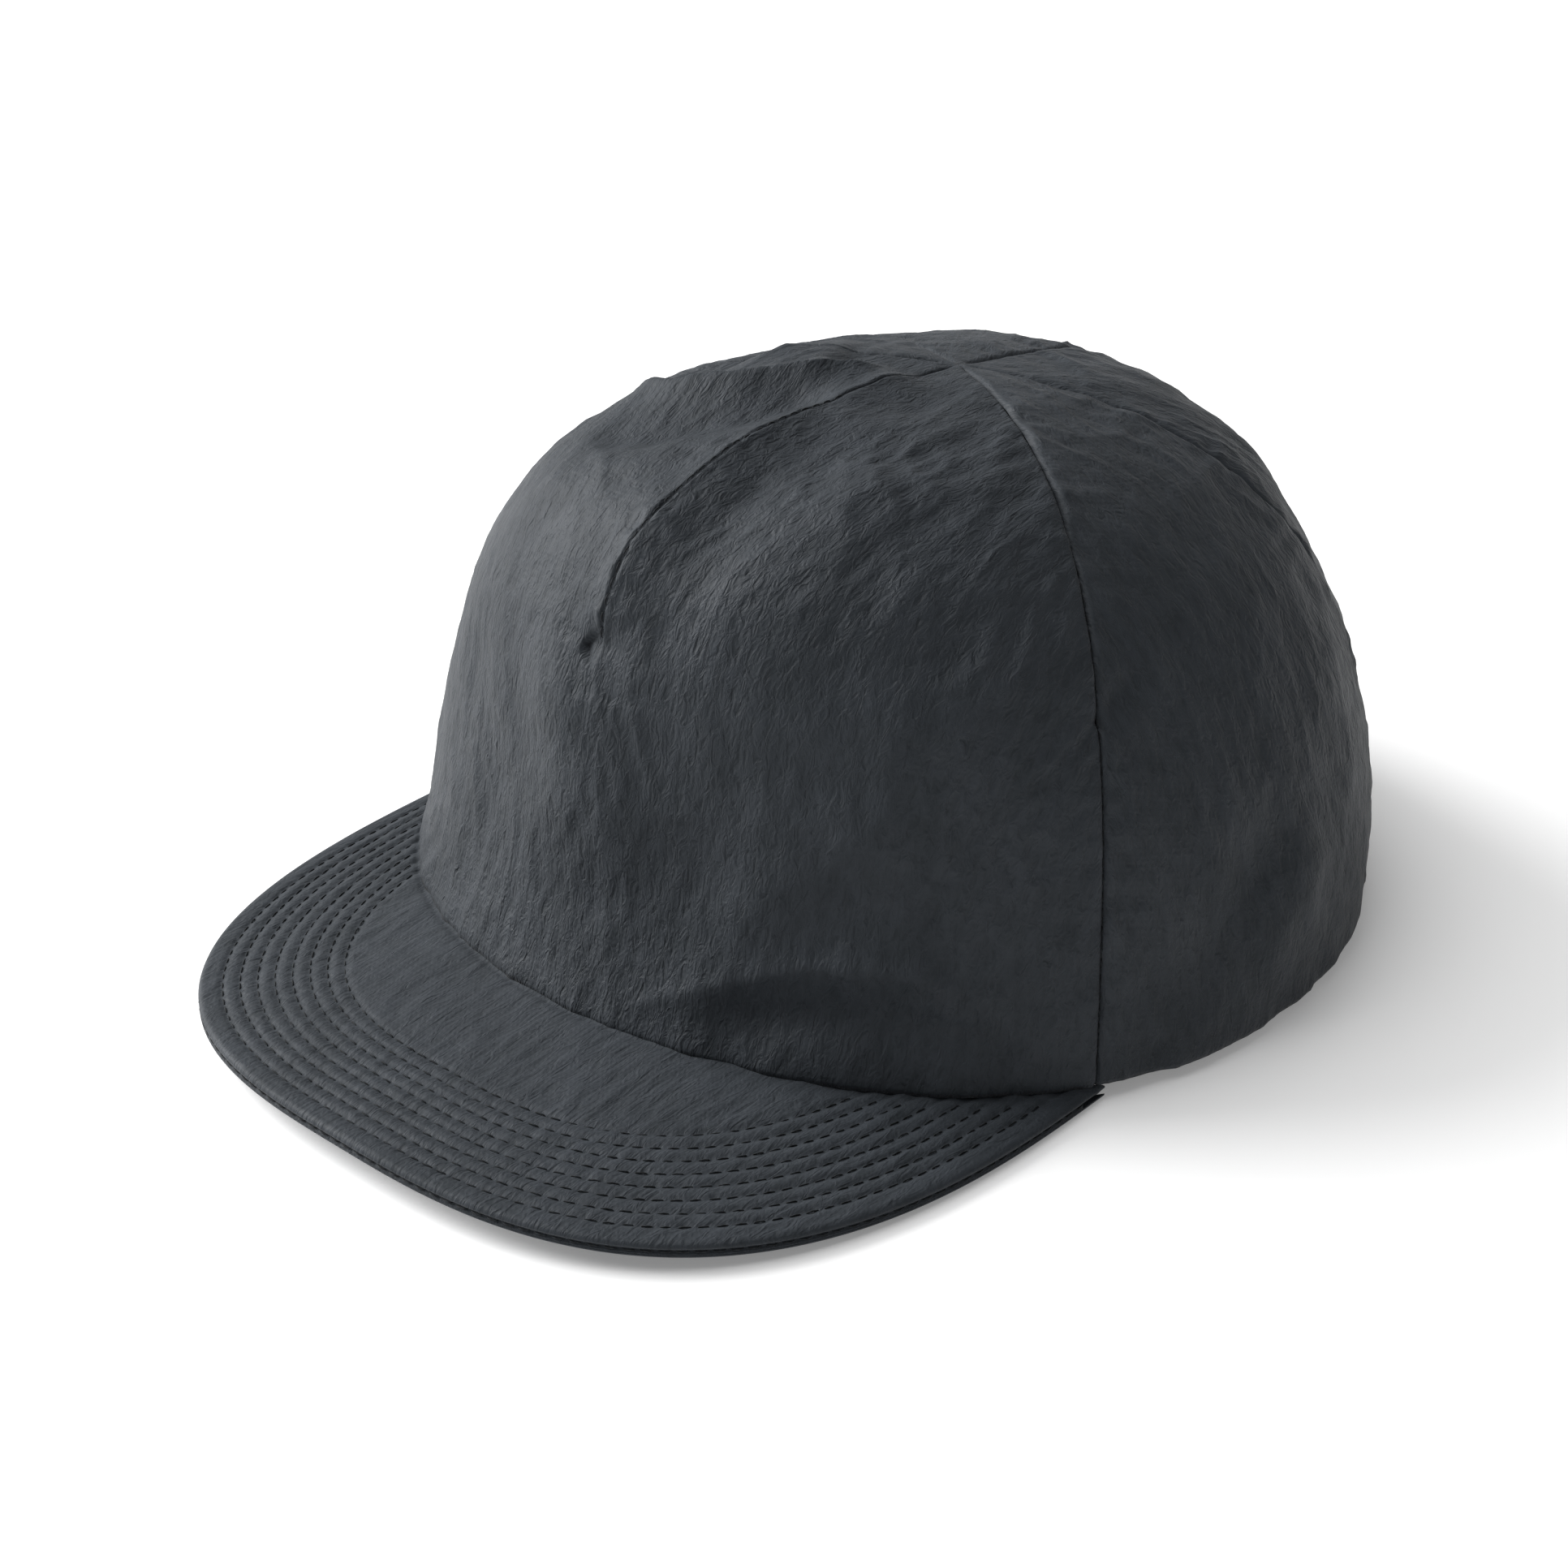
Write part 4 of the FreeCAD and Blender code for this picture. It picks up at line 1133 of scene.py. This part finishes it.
def shellRise(angle, share):
    edge = riseAt(angle, insert["edgeHeight"] + crown["frontRise"] * np.clip(np.cos(angle), 0, 1) ** 2)
    return edge + (insert["stop"] - edge) * share


def padProfile(edge, thickness):
    # crowned: a rounded lip at the border, then a slow rise to the middle
    return thickness * roundEdge(edge, 2.2, 0.02) * (0.74 + 0.26 * smoothStep(0, 16, edge))


def makePad(name, node, start, end, low=0.05, high=0.5):
    # sides pulled in between the corners; a moulded groove runs round inside the border, and two cross the pad
    along, up = gridOf(np.linspace(-1, 1, 190), np.linspace(-1, 1, 110))
    corner = 0.16
    grip = np.clip((np.abs(along) - 1 + corner) / corner, 0, 1)
    rise = up * (1 - 0.16 * (1 - np.sqrt(np.clip(1 - grip ** 2, 0, 1))) - 0.025 * (1 - along ** 2))
    reach = along * (1 - 0.02 * (1 - up ** 2))
    middle, half = math.radians(0.5 * (start + end)), math.radians(0.5 * (end - start))
    angle = middle + half * reach
    share = 0.5 * (low + high) + 0.5 * (high - low) * rise
    climb = shellRise(angle, share)
    base, normal = crownPoint(angle, climb), crownNormal(angle, climb)
    uRun, vRun, edge = borderDistance(base)
    puff = padProfile(edge, insert["padThickness"]) - 1.1 * np.exp(-((edge - 7.5) / 1.0) ** 2)
    channel = 1.6 * np.exp(-((np.abs(uRun - 0.5 * uRun[-1:]) - 0.17 * uRun[-1:]) / 1.3) ** 2)
    puff = puff - channel * smoothStep(7, 10, edge) + 0.05 * latticeNoise(uRun / 2, vRun / 2, 61)
    puff = np.maximum(puff, 0.3)
    depth = shellInset(share) + insert["thickness"] + insert["padGap"]
    top = base - normal * depth[..., None]
    bottom = base - normal * (depth + puff)[..., None]
    piece = closedPatch(name, top, bottom, np.stack([uRun, vRun], -1))
    settle(piece, "insert", "pad_foam", padFoam, node)


def makeInsert():
    bevelledCopy("impactShellMoulded", "impact_shell", "insert", "shell_abs", shellPlastic, 0.0)
    for name, start, end in (("front", -40, 40), ("left", 62, 118), ("right", -118, -62), ("rear", 146, 214)):
        makePad(name + "PadFoam", name + "_pad", start, end)
    depth = insert["insetTop"] + insert["thickness"] + 4 * 0.15
    piece = apexSheet("crownPadFoam", insert["crownHalf"], (depth, depth + insert["padThickness"]), "insert",
                      "pad_foam", padFoam, "crown_pad", crowned=True)
    print("insert made")


def makeTabs():
    first = {}
    half = np.linspace(-0.5, 0.5, 60)
    step = 0.004
    for side, sideName in ((-1, "right"), (1, "left")):
        for degrees in insert["tabAngles"]:
            centre = math.radians(side * degrees)
            rise = float(shellRise(np.array(centre), 0.5))
            wide = insert["tabSize"] / float(axisDistance(np.array(centre), np.array(rise)))
            climb = crownPoint(centre, rise + step) - crownPoint(centre, rise - step)
            slope = np.linalg.norm(climb) / (2 * step)
            a, b = gridOf(centre + wide * half, rise + insert["tabSize"] / slope * half)
            name = sideName + "Tab" + str(int(degrees))
            loops = sheetPatch(name + "Loops", a, b, *insert["loopDepth"], "cover", "loop_pile", loopPile, None,
                               0.16, 7)
            hooks = sheetPatch(name + "Hooks", a, b, insert["hookDepth"], shellInset(0.5) - 0.1, "insert",
                               "hook_tape", hookPlastic, None, 0.08, 8)
            first.setdefault("loop_tabs", loops)
            first.setdefault("hook_tabs", hooks)
    for node, piece in first.items():
        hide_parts(node)
    print("tabs made")


def makeFloor():
    reach = 6000.0
    points = reach * np.array([[-1, -1, 0], [1, -1, 0], [1, 1, 0], [-1, 1, 0]], float)
    floor = makePiece("studioFloor", points, np.array([[0, 1, 2, 3]]))
    # plain pale floor given a faint glow of its own: painted light that lifts the shadows on it
    settings = {"Base Color": linearColour("#ececec"), "Roughness": 0.9, "Emission Color": (1, 1, 1, 1),
                "Emission Strength": 0.2}
    floor.data.materials.append(startMaterial("glowingFloor", settings)[0])
    world = bpy.data.worlds.new("studio")
    world.use_nodes = True
    sky = world.node_tree.nodes["Background"]
    sky.inputs["Color"].default_value = (1.0, 1.0, 1.0, 1.0)
    sky.inputs["Strength"].default_value = lights["room"]
    bpy.context.scene.world = world


makePanels()
makeSeamThreads()
makeTapes()
makeBands()
makeVisorCovers()
makeVisorThreads()
makeBinding()
makeStrap()
makeAnchor()
makeBartacks()
makeBuckle()
makeInsert()
makeTabs()
makeFloor()
makeLights()
